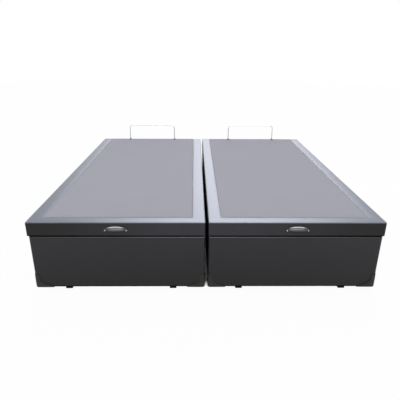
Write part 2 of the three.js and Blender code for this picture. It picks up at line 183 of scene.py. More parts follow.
def move_out(bm, distance_at):
    """Moves every point along its normal by what distance_at says for it."""
    bm.normal_update()
    moves = [(vert, vert.normal * distance_at(vert.co)) for vert in bm.verts]
    for vert, move in moves:
        vert.co += move


# %% [markdown]
# A turned piece is a profile of radius and height points, spun once round the Z axis. A full
# spin leaves its first and last rows on top of each other unless they are merged, and it may
# turn the skin inside out, so its normals are worked out again.

# %% Tools: turned pieces and places along a direction
def turned(bm, profile, place=Matrix(), segments=32, closed=False):
    """Spins a profile of (radius, height) round Z, and puts the result at a place."""
    before = set(bm.verts)
    row = [bm.verts.new((radius, 0, height)) for radius, height in profile]
    pairs = list(zip(row, row[1:]))
    if closed:
        pairs.append((row[-1], row[0]))
    edges = [bm.edges.new(pair) for pair in pairs]
    bmesh.ops.spin(
        bm, geom=row + edges, cent=(0, 0, 0), axis=(0, 0, 1), dvec=(0, 0, 0),
        angle=math.tau, steps=segments, use_merge=True, use_duplicate=False,
    )
    made = [vert for vert in bm.verts if vert not in before]
    bmesh.ops.remove_doubles(bm, verts=made, dist=1e-6)
    made = [vert for vert in bm.verts if vert not in before]
    faces = list({face for vert in made for face in vert.link_faces})
    bmesh.ops.recalc_face_normals(bm, faces=faces)
    bmesh.ops.transform(bm, matrix=place, verts=made)
    return made


def pointing(place, direction):
    """A matrix that puts the origin at a place and turns Z to a direction."""
    turn = Vector(direction).to_track_quat("Z", "Y").to_matrix().to_4x4()
    return Matrix.Translation(Vector(place)) @ turn


# %% [markdown]
# ## From a mesh to two pieces that ride on the bed
#
# `both_halves` makes the right piece and its mirror image. A mirrored mesh is inside out, so its
# faces are reversed. Each piece rides on a CAD body, names the material slot that it takes its
# finish from, and may stand for CAD nodes, which are then hidden.

# %% Tools: making the pieces
SHARP = math.radians(38)  # faces that meet at more than this show an edge
pieces_made = []


def make_piece(name, bm, finish, body):
    """Turns a mesh into an object at the origin that rides on a body."""
    mesh = bpy.data.meshes.new(name)
    bm.to_mesh(mesh)
    mesh.materials.append(finish)
    mesh.shade_smooth()
    mesh.set_sharp_from_angle(angle=SHARP)
    piece = bpy.data.objects.new(name, mesh)
    bpy.context.scene.collection.objects.link(piece)
    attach(piece, body)
    pieces_made.append(name)
    return piece


def both_halves(name, bm, finish, body, replaced=()):
    """Makes a piece for the right half, and its mirror image for the left half."""
    made = []
    for side, sign in SIDES.items():
        twin = bm.copy()
        if sign < 0:
            bmesh.ops.scale(twin, vec=(-1, 1, 1), verts=twin.verts)
            bmesh.ops.reverse_faces(twin, faces=twin.faces)
        piece = make_piece(f"{side}_{name}", twin, finish, body.format(side=side))
        twin.free()
        if replaced:
            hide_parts(*(f"{side}_{node}" for node in replaced))
        made.append(piece)
    bm.free()
    print(f"{name}: {len(made[0].data.polygons)} faces in each half")
    return made


def thicken(piece, thickness):
    """Gives a skin its thickness, inwards from the face that shows."""
    wall = piece.modifiers.new("Thickness", "SOLIDIFY")
    wall.thickness = thickness
    wall.offset = -1


def soften(piece, width, segments=2):
    """Rounds the hard edges of a rigid piece a little, so that they catch the light."""
    rounding = piece.modifiers.new("Soft edges", "BEVEL")
    rounding.width = width
    rounding.segments = segments
    rounding.limit_method = "ANGLE"
    rounding.angle_limit = math.radians(40)


def refine(piece):
    """Smooths a piece with one level of subdivision surface."""
    surface = piece.modifiers.new("Smooth", "SUBSURF")
    surface.levels = 1
    surface.render_levels = 1


# %% [markdown]
# ## Small tools for finishes
#
# A material is a graph of nodes. `Tree` wraps one graph and has short ways to add a node and to
# feed its inputs with a number, a colour or another node's output. All patterns are procedural
# and follow the piece's own Object coordinates, in metres.

# %% Tools: node graphs
class Tree:
    """A node graph, with short ways to add nodes to it."""

    def __init__(self, graph):
        self.graph = graph

    def feed(self, socket, value):
        if isinstance(value, bpy.types.NodeSocket):
            self.graph.links.new(value, socket)
        else:
            socket.default_value = value

    def add(self, kind, inputs=None, **options):
        node = self.graph.nodes.new(kind)
        for name, value in options.items():
            setattr(node, name, value)
        for name, value in (inputs or {}).items():
            self.feed(node.inputs[name], value)
        return node

    def math(self, operation, first, second=0.0, third=0.0):
        node = self.add("ShaderNodeMath", operation=operation)
        for socket, value in zip(node.inputs, (first, second, third)):
            self.feed(socket, value)
        return node.outputs[0]

    def vector(self, operation, first, second):
        node = self.add("ShaderNodeVectorMath", operation=operation)
        self.feed(node.inputs[0], first)
        self.feed(node.inputs[1], second)
        return node.outputs[0]

    def mix(self, factor, first, second):
        node = self.add("ShaderNodeMix", data_type="RGBA")
        self.feed(node.inputs[0], factor)
        self.feed(node.inputs[6], first)
        self.feed(node.inputs[7], second)
        return node.outputs[2]

    def noise(self, place, scale, detail=2.0, roughness=0.5, distortion=0.0):
        values = {"Vector": place, "Scale": scale, "Detail": detail}
        values.update({"Roughness": roughness, "Distortion": distortion})
        return self.add("ShaderNodeTexNoise", values).outputs[0]

    def cells(self, place, scale, feature="F1"):
        values = {"Vector": place, "Scale": scale}
        return self.add("ShaderNodeTexVoronoi", values, feature=feature)

    def fit(self, value, low, high, to_low=0.0, to_high=1.0, smooth=False):
        kind = "SMOOTHSTEP" if smooth else "LINEAR"
        values = {"Value": value, "From Min": low, "From Max": high}
        values.update({"To Min": to_low, "To Max": to_high})
        return self.add("ShaderNodeMapRange", values, interpolation_type=kind).outputs[0]

    def stretch(self, place, scale, turn=(0, 0, 0)):
        values = {"Vector": place, "Scale": scale, "Rotation": turn}
        return self.add("ShaderNodeMapping", values).outputs[0]

    def parts(self, place):
        return self.add("ShaderNodeSeparateXYZ", {"Vector": place}).outputs

    def use(self, group, **values):
        """Places a node group and feeds its named inputs. Gives its outputs."""
        node = self.add("ShaderNodeGroup", node_tree=group)
        for name, value in values.items():
            self.feed(node.inputs[name.replace("_", " ")], value)
        return node.outputs


class Finish(Tree):
    """A material in the making, with its shader and the piece's own coordinates."""

    def __init__(self, name, slot, color, roughness, **constants):
        self.material = bpy.data.materials.new(name)
        self.material.use_nodes = True
        self.material["slot"] = slot
        super().__init__(self.material.node_tree)
        self.shader = self.graph.nodes["Principled BSDF"]
        self.place = self.add("ShaderNodeTexCoord").outputs["Object"]
        self.set(Base_Color=color, Roughness=roughness, **constants)

    def set(self, **values):
        for name, value in values.items():
            self.feed(self.shader.inputs[name.replace("_", " ")], value)

    def bump(self, height, depth, strength):
        """Relief from a height pattern; depth is the height of its tallest part in metres."""
        values = {"Height": height, "Distance": depth, "Strength": strength}
        return self.add("ShaderNodeBump", values).outputs[0]


def new_group(name, inputs, outputs):
    """A node group with named sockets. Gives the group, its tree, its inputs and outputs."""
    kinds = {"vector": "NodeSocketVector", "color": "NodeSocketColor", "value": "NodeSocketFloat"}
    group = bpy.data.node_groups.new(name, "ShaderNodeTree")
    for label, kind in inputs.items():
        group.interface.new_socket(name=label, in_out="INPUT", socket_type=kinds[kind])
    for label, kind in outputs.items():
        group.interface.new_socket(name=label, in_out="OUTPUT", socket_type=kinds[kind])
    tree = Tree(group)
    entry = tree.add("NodeGroupInput").outputs
    result = tree.add("NodeGroupOutput").inputs
    return group, tree, entry, result


def grey(level):
    """A neutral colour."""
    return (level, level, level, 1.0)


# %% [markdown]
# ## Shared effects
#
# Effects that several finishes use are node groups: the pebble grain of synthetic leather, slow
# drifts of tone, wood grain, pressed wood chips, and fine scratches. Each is built once and is
# placed in a material with that material's own values.

# %% Group: leather grain
def leather_grain_group():
    group, tree, entry, result = new_group(
        "leather_grain", {"Vector": "vector", "Cells": "value"},
        {"Height": "value", "Crease": "value"},
    )
    bend = tree.add("ShaderNodeTexNoise", {"Vector": entry["Vector"], "Detail": 2.0})
    tree.feed(bend.inputs["Scale"], tree.math("MULTIPLY", entry["Cells"], 0.4))
    shift = tree.vector("SUBTRACT", bend.outputs["Color"], (0.5, 0.5, 0.5))
    small = tree.math("DIVIDE", 0.9, entry["Cells"])
    scaled = tree.add("ShaderNodeVectorMath", {"Scale": small}, operation="SCALE")
    tree.feed(scaled.inputs[0], shift)
    bent = tree.vector("ADD", entry["Vector"], scaled.outputs[0])
    pebble = tree.cells(bent, entry["Cells"], "DISTANCE_TO_EDGE").outputs["Distance"]
    body = tree.fit(pebble, 0.0, 0.35, smooth=True)
    pores = tree.noise(entry["Vector"], tree.math("MULTIPLY", entry["Cells"], 2.6), 2.0)
    height = tree.math("MULTIPLY_ADD", pores, 0.25, body)
    tree.feed(result["Height"], height)
    tree.feed(result["Crease"], tree.fit(pebble, 0.0, 0.12, 1.0, 0.0, smooth=True))
    return group


leather_grain = leather_grain_group()

# %% Group: tone drift
def tone_drift_group():
    group, tree, entry, result = new_group(
        "tone_drift", {"Vector": "vector", "Color": "color", "Size": "value", "Amount": "value"},
        {"Color": "color", "Mask": "value"},
    )
    scale = tree.math("DIVIDE", 1.0, entry["Size"])
    patch = tree.noise(entry["Vector"], scale, 3.0, 0.55)
    centred = tree.math("SUBTRACT", patch, 0.5)
    doubled = tree.math("MULTIPLY", entry["Amount"], 2.0)
    value = tree.math("MULTIPLY_ADD", centred, doubled, 1.0)
    shade = tree.add("ShaderNodeHueSaturation", {"Value": value, "Color": entry["Color"]})
    tree.feed(result["Color"], shade.outputs[0])
    tree.feed(result["Mask"], patch)
    return group


tone_drift = tone_drift_group()

# %% Group: wood grain that runs along X
def wood_grain_group():
    group, tree, entry, result = new_group(
        "wood_grain", {"Vector": "vector", "Light": "color", "Dark": "color"},
        {"Color": "color", "Height": "value"},
    )
    long = tree.stretch(entry["Vector"], (0.7, 14.0, 14.0))
    rings = tree.noise(long, 3.0, 3.0, 0.5, 0.8)
    bands = tree.math("FRACT", tree.math("MULTIPLY", rings, 9.0))
    late = tree.fit(bands, 0.55, 1.0, smooth=True)
    hairs = tree.noise(tree.stretch(entry["Vector"], (6.0, 420.0, 420.0)), 1.0, 2.0)
    tint = tree.math("MULTIPLY_ADD", hairs, 0.45, tree.math("MULTIPLY", late, 0.7))
    tree.feed(result["Color"], tree.mix(tree.fit(tint, 0.1, 1.0), entry["Light"], entry["Dark"]))
    tree.feed(result["Height"], tree.math("SUBTRACT", 1.0, hairs))
    return group


wood_grain = wood_grain_group()

# %% Group: pressed wood chips
def wood_chips_group():
    group, tree, entry, result = new_group(
        "wood_chips",
        {"Vector": "vector", "Light": "color", "Dark": "color", "Chips": "value"},
        {"Color": "color", "Height": "value"},
    )
    swirl = tree.add("ShaderNodeTexNoise", {"Vector": entry["Vector"], "Scale": 30.0})
    bent = tree.vector("MULTIPLY", swirl.outputs["Color"], (0.02, 0.02, 0.02))
    place = tree.vector("ADD", entry["Vector"], bent)
    chips = tree.cells(place, entry["Chips"])
    fine = tree.noise(entry["Vector"], tree.math("MULTIPLY", entry["Chips"], 3.0), 3.0)
    random = tree.parts(chips.outputs["Color"])[0]
    tint = tree.math("ADD", tree.math("MULTIPLY", random, 0.75), tree.math("MULTIPLY", fine, 0.4))
    tree.feed(result["Color"], tree.mix(tree.fit(tint, 0.1, 1.0), entry["Light"], entry["Dark"]))
    tree.feed(result["Height"], random)
    return group


wood_chips = wood_chips_group()

# %% Group: fine scratches
def scratches_group():
    group, tree, entry, result = new_group(
        "scratches", {"Vector": "vector", "Density": "value"}, {"Mask": "value"},
    )
    total = None
    for turn in (0.4, 1.3, 2.5):
        lines = tree.stretch(entry["Vector"], (4.0, 900.0, 300.0), (0.2, turn, turn))
        line = tree.noise(lines, 1.0, 1.0)
        thin = tree.fit(line, 0.66, 0.72, smooth=True)
        total = thin if total is None else tree.math("MAXIMUM", total, thin)
    patch = tree.noise(entry["Vector"], 25.0, 2.0)
    wear_and_highlight = tree.fit(patch, 0.45, 0.7, 0.2, 1.0)
    mask = tree.math("MULTIPLY", tree.math("MULTIPLY", total, wear_and_highlight), entry["Density"])
    tree.feed(result["Mask"], mask)
    return group


scratches = scratches_group()
print("node groups:", [group.name for group in bpy.data.node_groups])

# %% [markdown]
# ## Leather and fabric
#
# The sides are a near-black charcoal synthetic leather. It is a thin coat of vinyl on cloth, so
# it is a plain dielectric: what light the dark skin sends back is mostly its own soft gloss. Its
# pebbles are a little over a millimetre wide, and their creases hold painted shade. Painted shade
# also makes the chest blacker towards the floor and the lid's band blacker towards the bed's
# outer sides. Just under the chest's rim, a paler strip is a painted highlight, brightest beside
# the other chest. Where a cover is turned round an edge, it gets a near-black, dull finish, which
# is painted shade. The border of the lid is the same kind of sheet in blue-grey, with a smoother,
# more satin skin.

# %% Finish: charcoal leather of the sides
PAINTED_SHADE_BLACK = (0.006, 0.006, 0.006, 1)
CHARCOAL_DYE = (0.052, 0.052, 0.064, 1)
RIM_PAINTED_HIGHLIGHT = (0.36, 0.36, 0.39, 1)
HIGHLIGHT_STARTS = 6.4 * MM  # below the chest's top
HIGHLIGHT_FULL = 4.2 * MM
SIDE_PEBBLES = 750.0  # cells of the grain in a metre
SIDE_RELIEF = 0.12 * MM


def make_side_leather(name, painted_shade_at, highlight_at=None):
    """A charcoal leather; functions of the finish, x and z give its painted shade and highlight.
    """
    finish = Finish(name, "dark_leather", grey(0.02), 0.44, Specular_IOR_Level=0.3)
    x, _, z = finish.parts(finish.place)
    grain = finish.use(leather_grain, Vector=finish.place, Cells=SIDE_PEBBLES)
    # Painted shade: the charcoal blends towards near-black as the first function says.
    shaded_tone = finish.mix(painted_shade_at(finish, x, z), PAINTED_SHADE_BLACK, CHARCOAL_DYE)
    tone = finish.use(tone_drift, Vector=finish.place, Color=shaded_tone, Size=0.25, Amount=0.2)
    wear_and_highlight = tone["Color"]
    # Painted highlight: a paler strip where the second function says.
    if highlight_at:
        wear_and_highlight = finish.mix(highlight_at(finish, x, z), wear_and_highlight, RIM_PAINTED_HIGHLIGHT)
    gloss = finish.fit(grain["Crease"], 0.0, 1.0, 0.42, 0.62)
    patches = finish.fit(tone["Mask"], 0.3, 0.7, -0.04, 0.04)
    finish.set(
        # Painted shade: the grain's creases are darkened to near-black.
        Base_Color=finish.mix(grain["Crease"], wear_and_highlight, grey(0.006)),
        Roughness=finish.math("ADD", gloss, patches),
        Normal=finish.bump(grain["Height"], SIDE_RELIEF, 0.7),
    )
    return finish.material


def chest_painted_shade(finish, x, z):
    """Painted shade: blacker towards the floor."""
    return finish.fit(z, cover_lo.z, cover_hi.z, 0.1, 0.7)


def chest_painted_highlight(finish, x, z):
    """Painted highlight: just under the rim, and less towards the bed's outer sides."""
    top = cover_hi.z
    rising = finish.fit(z, top - HIGHLIGHT_STARTS, top - HIGHLIGHT_FULL, 0.0, 0.9, smooth=True)
    along = finish.fit(finish.math("ABSOLUTE", x), 0.12, lid_hi.x, 1.0, 0.12)
    return finish.math("MULTIPLY", rising, along)


def band_painted_shade(finish, x, z):
    """Painted shade: blacker towards the bed's outer sides."""
    out = finish.math("ABSOLUTE", x)
    return finish.fit(out, 0.1, lid_hi.x, 1.0, 0.05, smooth=True)


chest_leather = make_side_leather("chest_leather", chest_painted_shade, chest_painted_highlight)
band_leather = make_side_leather("band_leather", band_painted_shade)

# %% Finish: the same leather where it is turned round an edge, near-black and dull as painted shade
def make_fold_shade_leather():
    finish = Finish("fold_shade_leather", "dark_leather", grey(0.003), 0.8, Specular_IOR_Level=0.04)
    grain = finish.use(leather_grain, Vector=finish.place, Cells=SIDE_PEBBLES)
    finish.set(
        Base_Color=finish.mix(grain["Crease"], grey(0.004), grey(0.002)),
        Roughness=finish.fit(grain["Crease"], 0.0, 1.0, 0.75, 0.9),
        Normal=finish.bump(grain["Height"], SIDE_RELIEF, 0.7),
    )
    return finish.material


fold_shade_leather = make_fold_shade_leather()

# %% Finish: blue-grey leather of the lid's border
SILVER_DYE = (0.122, 0.138, 0.178, 1)
SILVER_CREASE_SHADE = (0.10, 0.11, 0.145, 1)
SILVER_EDGE_HIGHLIGHT = (0.25, 0.265, 0.33, 1)
EDGE_HIGHLIGHT_STRIP = (4 * MM, 12 * MM)  # from the lid's outer edge: where the painted highlight fades


def make_border_leather():
    finish = Finish("silver_leather", "border_leather", SILVER_DYE, 0.35)
    x, y, _ = finish.parts(finish.place)
    from_edges = [
        finish.math("SUBTRACT", lid_hi.x, finish.math("ABSOLUTE", x)),
        finish.math("SUBTRACT", lid_hi.y, finish.math("ABSOLUTE", y)),
    ]
    nearest = finish.math("MINIMUM", *from_edges)
    # Painted highlight: a paler strip along the border's outer edge.
    at_edge = finish.fit(nearest, *EDGE_HIGHLIGHT_STRIP, 0.8, 0.0, smooth=True)
    grain = finish.use(leather_grain, Vector=finish.place, Cells=950.0)
    wear_and_highlight = finish.mix(at_edge, SILVER_DYE, SILVER_EDGE_HIGHLIGHT)
    tone = finish.use(tone_drift, Vector=finish.place, Color=wear_and_highlight, Size=0.3, Amount=0.05)
    # Painted shade: the grain's creases are darkened.
    crease = finish.math("MULTIPLY", grain["Crease"], 0.5)
    finish.set(
        Base_Color=finish.mix(crease, tone["Color"], SILVER_CREASE_SHADE),
        Roughness=finish.fit(grain["Crease"], 0.0, 1.0, 0.33, 0.40),
        Normal=finish.bump(grain["Height"], 0.03 * MM, 0.4),
    )
    return finish.material


border_leather = make_border_leather()

# %% [markdown]
# The deck panel is non-woven fabric: fibres laid at random and welded together in a grid of tiny
# dots. The dots are a staggered grid made with fractions of the coordinates, and two stretched
# noises lay fibres between them.

# %% Finish: non-woven deck fabric
DECK_GREY = (0.344, 0.344, 0.385, 1)
FIBRE_GREY = (0.40, 0.40, 0.44, 1)
WELD_GREY = (0.25, 0.25, 0.28, 1)
WELD_PITCH = 2.4 * MM


def weld_dots(finish):
    """1 in the middle of each welded dot. Every other row is shifted by half a pitch."""
    x, y, _ = finish.parts(finish.place)
    row = finish.math("DIVIDE", y, WELD_PITCH / 2)
    odd = finish.math("FLOORED_MODULO", finish.math("FLOOR", row), 2.0)
    shift = finish.math("MULTIPLY", odd, 0.5)
    column = finish.math("ADD", finish.math("DIVIDE", x, WELD_PITCH), shift)
    across = finish.math("ABSOLUTE", finish.math("SUBTRACT", finish.math("FRACT", column), 0.5))
    along = finish.math("ABSOLUTE", finish.math("SUBTRACT", finish.math("FRACT", row), 0.5))
    reach = finish.math("ADD", finish.math("MULTIPLY", across, 2.0), along)
    return finish.fit(reach, 0.25, 0.45, 1.0, 0.0, smooth=True)


def make_deck_fabric():
    finish = Finish("deck_fabric", "deck_fabric", DECK_GREY, 0.95, Sheen_Weight=0.02,
                    Specular_IOR_Level=0.15)
    dot = weld_dots(finish)
    fibre_one = finish.noise(finish.stretch(finish.place, (900, 90, 400), (0, 0, 0.6)), 1.0, 2.0)
    fibre_two = finish.noise(finish.stretch(finish.place, (90, 900, 400), (0, 0, 0.9)), 1.0, 2.0)
    fibres = finish.math("MAXIMUM", fibre_one, fibre_two)
    tone = finish.use(tone_drift, Vector=finish.place, Color=DECK_GREY, Size=0.3, Amount=0.035)
    paler = finish.fit(fibres, 0.4, 0.8, 0.0, 0.35)
    threads = finish.mix(paler, tone["Color"], FIBRE_GREY)
    welded = finish.mix(finish.math("MULTIPLY", dot, 0.25), threads, WELD_GREY)
    height = finish.math("SUBTRACT", finish.math("MULTIPLY", fibres, 0.5), dot)
    finish.set(
        Base_Color=welded,
        Roughness=finish.fit(dot, 0.0, 1.0, 0.96, 0.8),
        Normal=finish.bump(height, 0.12 * MM, 0.5),
    )
    return finish.material


deck_fabric = make_deck_fabric()

# %% Finish: sewing thread
def make_thread(name, slot, color):
    finish = Finish(name, slot, color, 0.6, Sheen_Weight=0.2)
    twist = finish.noise(finish.stretch(finish.place, (1500, 1500, 1500)), 1.0, 1.0)
    dark = tuple(part * 0.6 for part in color[:3]) + (1,)
    finish.set(
        Base_Color=finish.mix(finish.fit(twist, 0.35, 0.65), dark, color),
        Normal=finish.bump(twist, 0.1 * MM, 0.6),
    )
    return finish.material


silver_thread = make_thread("silver_thread", "border_leather", (0.20, 0.215, 0.26, 1))
black_thread = make_thread("black_thread", "dark_leather", grey(0.02))

# %% [markdown]
# ## Wood, board and fibreboard
#
# The boards are hidden until a lid is open. The lid's frame is pine: its rails run along the
# sides, and its slats run across, so the grain has to turn with them. One CAD node holds them
# all. Masks made from the coordinates tell the rails from the slats.

# %% Finish: pine of the lid frame
PINE_LIGHT = (0.60, 0.40, 0.21, 1)
PINE_DARK = (0.38, 0.21, 0.09, 1)
RAIL_THICKNESS = 30 * MM
SLAT_THICKNESS = 18 * MM
BEAM_WIDTH = 36 * MM
SLATS_IN_A_METRE = 4.9
rail_inner = lid_lo.x + SKIN + RAIL_THICKNESS
rail_outer = lid_hi.x - SKIN - RAIL_THICKNESS
slat_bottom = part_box("right_lid_frame")[1].z - SLAT_THICKNESS


def make_frame_pine():
    finish = Finish("frame_pine", "pine", PINE_LIGHT, 0.62, Specular_IOR_Level=0.35)
    x, y, z = finish.parts(finish.place)
    out = finish.math("ABSOLUTE", x)
    near_inner = finish.math("LESS_THAN", out, rail_inner + 0.5 * MM)
    near_outer = finish.math("GREATER_THAN", out, rail_outer - 0.5 * MM)
    from_middle = finish.math("ABSOLUTE", finish.math("SUBTRACT", out, lid_middle))
    at_middle = finish.math("LESS_THAN", from_middle, BEAM_WIDTH / 2 + 0.2 * MM)
    low = finish.math("LESS_THAN", z, slat_bottom + 0.6 * MM)
    beam = finish.math("MULTIPLY", at_middle, low)
    lengthwise = finish.math("MAXIMUM", finish.math("MAXIMUM", near_inner, near_outer), beam)
    turned_place = finish.stretch(finish.place, (1, 1, 1), (0, 0, math.pi / 2))
    place = finish.mix(lengthwise, finish.place, turned_place)
    board = finish.math("FLOOR", finish.math("MULTIPLY", y, SLATS_IN_A_METRE))
    offset = finish.math("MULTIPLY", board, 3.7)
    apart = finish.add("ShaderNodeCombineXYZ", {"X": offset}).outputs[0]
    wood = finish.use(wood_grain, Vector=finish.vector("ADD", place, apart),
                      Light=PINE_LIGHT, Dark=PINE_DARK)
    tone = finish.use(tone_drift, Vector=finish.place, Color=wood["Color"], Size=0.4, Amount=0.2)
    finish.set(
        Base_Color=tone["Color"],
        Roughness=finish.fit(wood["Height"], 0.0, 1.0, 0.75, 0.55),
        Normal=finish.bump(wood["Height"], 0.2 * MM, 0.5),
    )
    return finish.material


frame_pine = make_frame_pine()

# %% Finish: chipboard walls
def make_chipboard():
    light = (0.50, 0.34, 0.18, 1)
    dark = (0.22, 0.12, 0.05, 1)
    finish = Finish("chipboard", "chest_board", light, 0.8, Specular_IOR_Level=0.3)
    chips = finish.use(wood_chips, Vector=finish.place, Light=light, Dark=dark, Chips=260.0)
    tone = finish.use(tone_drift, Vector=finish.place, Color=chips["Color"], Size=0.5, Amount=0.12)
    finish.set(
        Base_Color=tone["Color"],
        Roughness=finish.fit(chips["Height"], 0.0, 1.0, 0.7, 0.88),
        Normal=finish.bump(chips["Height"], 0.15 * MM, 0.5),
    )
    return finish.material


chipboard = make_chipboard()

# %% Finish: fibreboard of the lid and the floor, with pine bearers under the floor
FIBRE_LIGHT = (0.23, 0.13, 0.06, 1)
FIBRE_DARK = (0.12, 0.06, 0.025, 1)
FLOOR_BOARD = 6 * MM
floor_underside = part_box("right_floor_panel")[1].z - FLOOR_BOARD


def make_fibreboard(name, bearers):
    finish = Finish(name, "hardboard", FIBRE_LIGHT, 0.6, Specular_IOR_Level=0.4)
    pulp = finish.use(wood_chips, Vector=finish.place, Light=FIBRE_LIGHT, Dark=FIBRE_DARK,
                      Chips=900.0)
    color, height = pulp["Color"], pulp["Height"]
    if bearers:
        low = finish.math("LESS_THAN", finish.parts(finish.place)[2], floor_underside - 0.5 * MM)
        wood = finish.use(wood_grain, Vector=finish.place, Light=PINE_LIGHT, Dark=PINE_DARK)
        color = finish.mix(low, color, wood["Color"])
        height = finish.math("MULTIPLY", height, finish.math("SUBTRACT", 1.0, low))
    tone = finish.use(tone_drift, Vector=finish.place, Color=color, Size=0.35, Amount=0.15)
    finish.set(
        Base_Color=tone["Color"],
        Roughness=finish.fit(height, 0.0, 1.0, 0.5, 0.68),
        Normal=finish.bump(height, 0.08 * MM, 0.4),
    )
    return finish.material


lid_fibreboard = make_fibreboard("lid_fibreboard", bearers=False)
floor_fibreboard = make_fibreboard("floor_fibreboard", bearers=True)

# %% [markdown]
# ## Plastic and metal
#
# The guards, feet and bushings are black polypropylene with the fine spark texture of their
# mould. The cup handle is brushed satin nickel, the mattress bar is chrome, the hinge, screws
# and staples are zinc plated, and the gas struts' tubes are painted black.

# %% Finish: moulded black plastic
def make_black_plastic(name, color, gloss, scuffed):
    finish = Finish(name, "black_plastic", color, 0.48, Specular_IOR_Level=gloss)
    spark = finish.noise(finish.place, 1600.0, 2.0)
    scuffs = finish.use(scratches, Vector=finish.place, Density=0.6)
    tone = finish.use(tone_drift, Vector=finish.place, Color=color, Size=0.06, Amount=0.2)
    rough = finish.fit(spark, 0.3, 0.7, 0.42, 0.55)
    finish.set(
        Base_Color=finish.mix(scuffs["Mask"], tone["Color"], grey(scuffed)),
        Roughness=finish.math("MULTIPLY_ADD", scuffs["Mask"], 0.2, rough),
        Normal=finish.bump(spark, 0.06 * MM, 0.5),
    )
    return finish.material


guard_plastic = make_black_plastic("guard_plastic", (0.015, 0.0155, 0.011, 1), 0.32, 0.04)
foot_plastic = make_black_plastic("foot_plastic", grey(0.002), 0.06, 0.012)

# %% Finish: bare and plated metals
def make_metal(name, slot, color, low, high, brush, depth):
    """A metal whose roughness and relief follow a brushed or cast pattern."""
    finish = Finish(name, slot, color, (low + high) / 2, Metallic=1.0)
    lines = finish.noise(finish.stretch(finish.place, brush), 1.0, 3.0)
    scuffs = finish.use(scratches, Vector=finish.place, Density=0.35)
    tone = finish.use(tone_drift, Vector=finish.place, Color=color, Size=0.03, Amount=0.06)
    rough = finish.fit(lines, 0.25, 0.75, low, high)
    finish.set(
        Base_Color=tone["Color"],
        Roughness=finish.math("MULTIPLY_ADD", scuffs["Mask"], 0.15, rough),
        Normal=finish.bump(lines, depth, 0.3),
    )
    return finish.material


chrome = make_metal(
    "chrome", "chrome", (0.93, 0.935, 0.945, 1), 0.16, 0.24, (30, 30, 30), 0.01 * MM)
rod_steel = make_metal(
    "rod_steel", "zinc_steel", (0.62, 0.62, 0.61, 1), 0.10, 0.16, (40, 40, 40), 0.01 * MM)

# %% Finish: nickel of the cup handle, with a painted highlight over its upper curve and painted shade below
NICKEL_LIP_SHADE = (0.015, 0.015, 0.016, 1)
NICKEL_FRONT_SHADE = (0.15, 0.15, 0.16, 1)
NICKEL_TOP_HIGHLIGHT = (0.90, 0.90, 0.94, 1)


def make_handle_nickel():
    finish = Finish("satin_nickel", "satin_nickel", NICKEL_FRONT_SHADE, 0.3, Metallic=1.0)
    x, _, z = finish.parts(finish.place)
    lines = finish.noise(finish.stretch(finish.place, (25, 700, 700)), 1.0, 3.0)
    scuffs = finish.use(scratches, Vector=finish.place, Density=0.35)
    up = finish.fit(z, handle_lo.z, handle_hi.z)
    # Painted shade: darker down the front, to near-black at the lip.
    front = finish.mix(finish.fit(up, 0.0, 0.55), NICKEL_LIP_SHADE, NICKEL_FRONT_SHADE)
    # Painted highlight: a pale crescent over the upper curve.
    from_middle = finish.math("SUBTRACT", finish.math("ABSOLUTE", x), lid_middle)
    across = finish.math("DIVIDE", from_middle, (handle_hi.x - handle_lo.x) / 2)
    reach = finish.math("MULTIPLY_ADD", across, across, finish.math("MULTIPLY", up, up))
    crescent = finish.fit(reach, 0.5, 0.8, smooth=True)
    top_highlight = finish.math("MULTIPLY", crescent, finish.fit(up, 0.55, 0.85, smooth=True))
    tone = finish.use(tone_drift, Vector=finish.place,
                      Color=finish.mix(top_highlight, front, NICKEL_TOP_HIGHLIGHT), Size=0.03, Amount=0.05)
    rough = finish.fit(lines, 0.25, 0.75, 0.24, 0.34)
    finish.set(
        Base_Color=tone["Color"],
        Roughness=finish.math("MULTIPLY_ADD", scuffs["Mask"], 0.15, rough),
        Normal=finish.bump(lines, 0.03 * MM, 0.3),
    )
    return finish.material


satin_nickel = make_handle_nickel()

# %% Finish: zinc plate with its spangle
def make_zinc():
    color = (0.55, 0.55, 0.53, 1)
    finish = Finish("zinc_plate", "zinc_steel", color, 0.38, Metallic=1.0)
    spangle = finish.cells(finish.place, 160.0)
    random = finish.parts(spangle.outputs["Color"])[0]
    tone = finish.mix(finish.math("MULTIPLY", random, 0.35), color, (0.42, 0.43, 0.42, 1))
    scuffs = finish.use(scratches, Vector=finish.place, Density=0.5)
    rough = finish.fit(random, 0.0, 1.0, 0.30, 0.46)
    finish.set(
        Base_Color=tone,
        Roughness=finish.math("MULTIPLY_ADD", scuffs["Mask"], 0.15, rough),
        Normal=finish.bump(random, 0.01 * MM, 0.3),
    )
    return finish.material


zinc_plate = make_zinc()

# %% Finish: black paint of the gas struts
def make_black_paint():
    finish = Finish("black_paint", "black_steel", grey(0.012), 0.3, Coat_Weight=0.3,
                    Coat_Roughness=0.15)
    peel = finish.noise(finish.place, 500.0, 1.0)
    scuffs = finish.use(scratches, Vector=finish.place, Density=0.5)
    finish.set(
        Base_Color=finish.mix(scuffs["Mask"], grey(0.012), grey(0.06)),
        Roughness=finish.math("MULTIPLY_ADD", scuffs["Mask"], 0.25, 0.3),
        Normal=finish.bump(peel, 0.03 * MM, 0.25),
    )
    return finish.material


black_paint = make_black_paint()
print("finishes:", len(bpy.data.materials))

# %% [markdown]
# ## Small fasteners
#
# Screws, tacks and staples repeat many times, so each has only a few dozen faces. A screw head is
# a shallow dome. Its cross recess is a ring of twelve points of which eight are pulled in, which
# leaves a four-armed star that is sunk.

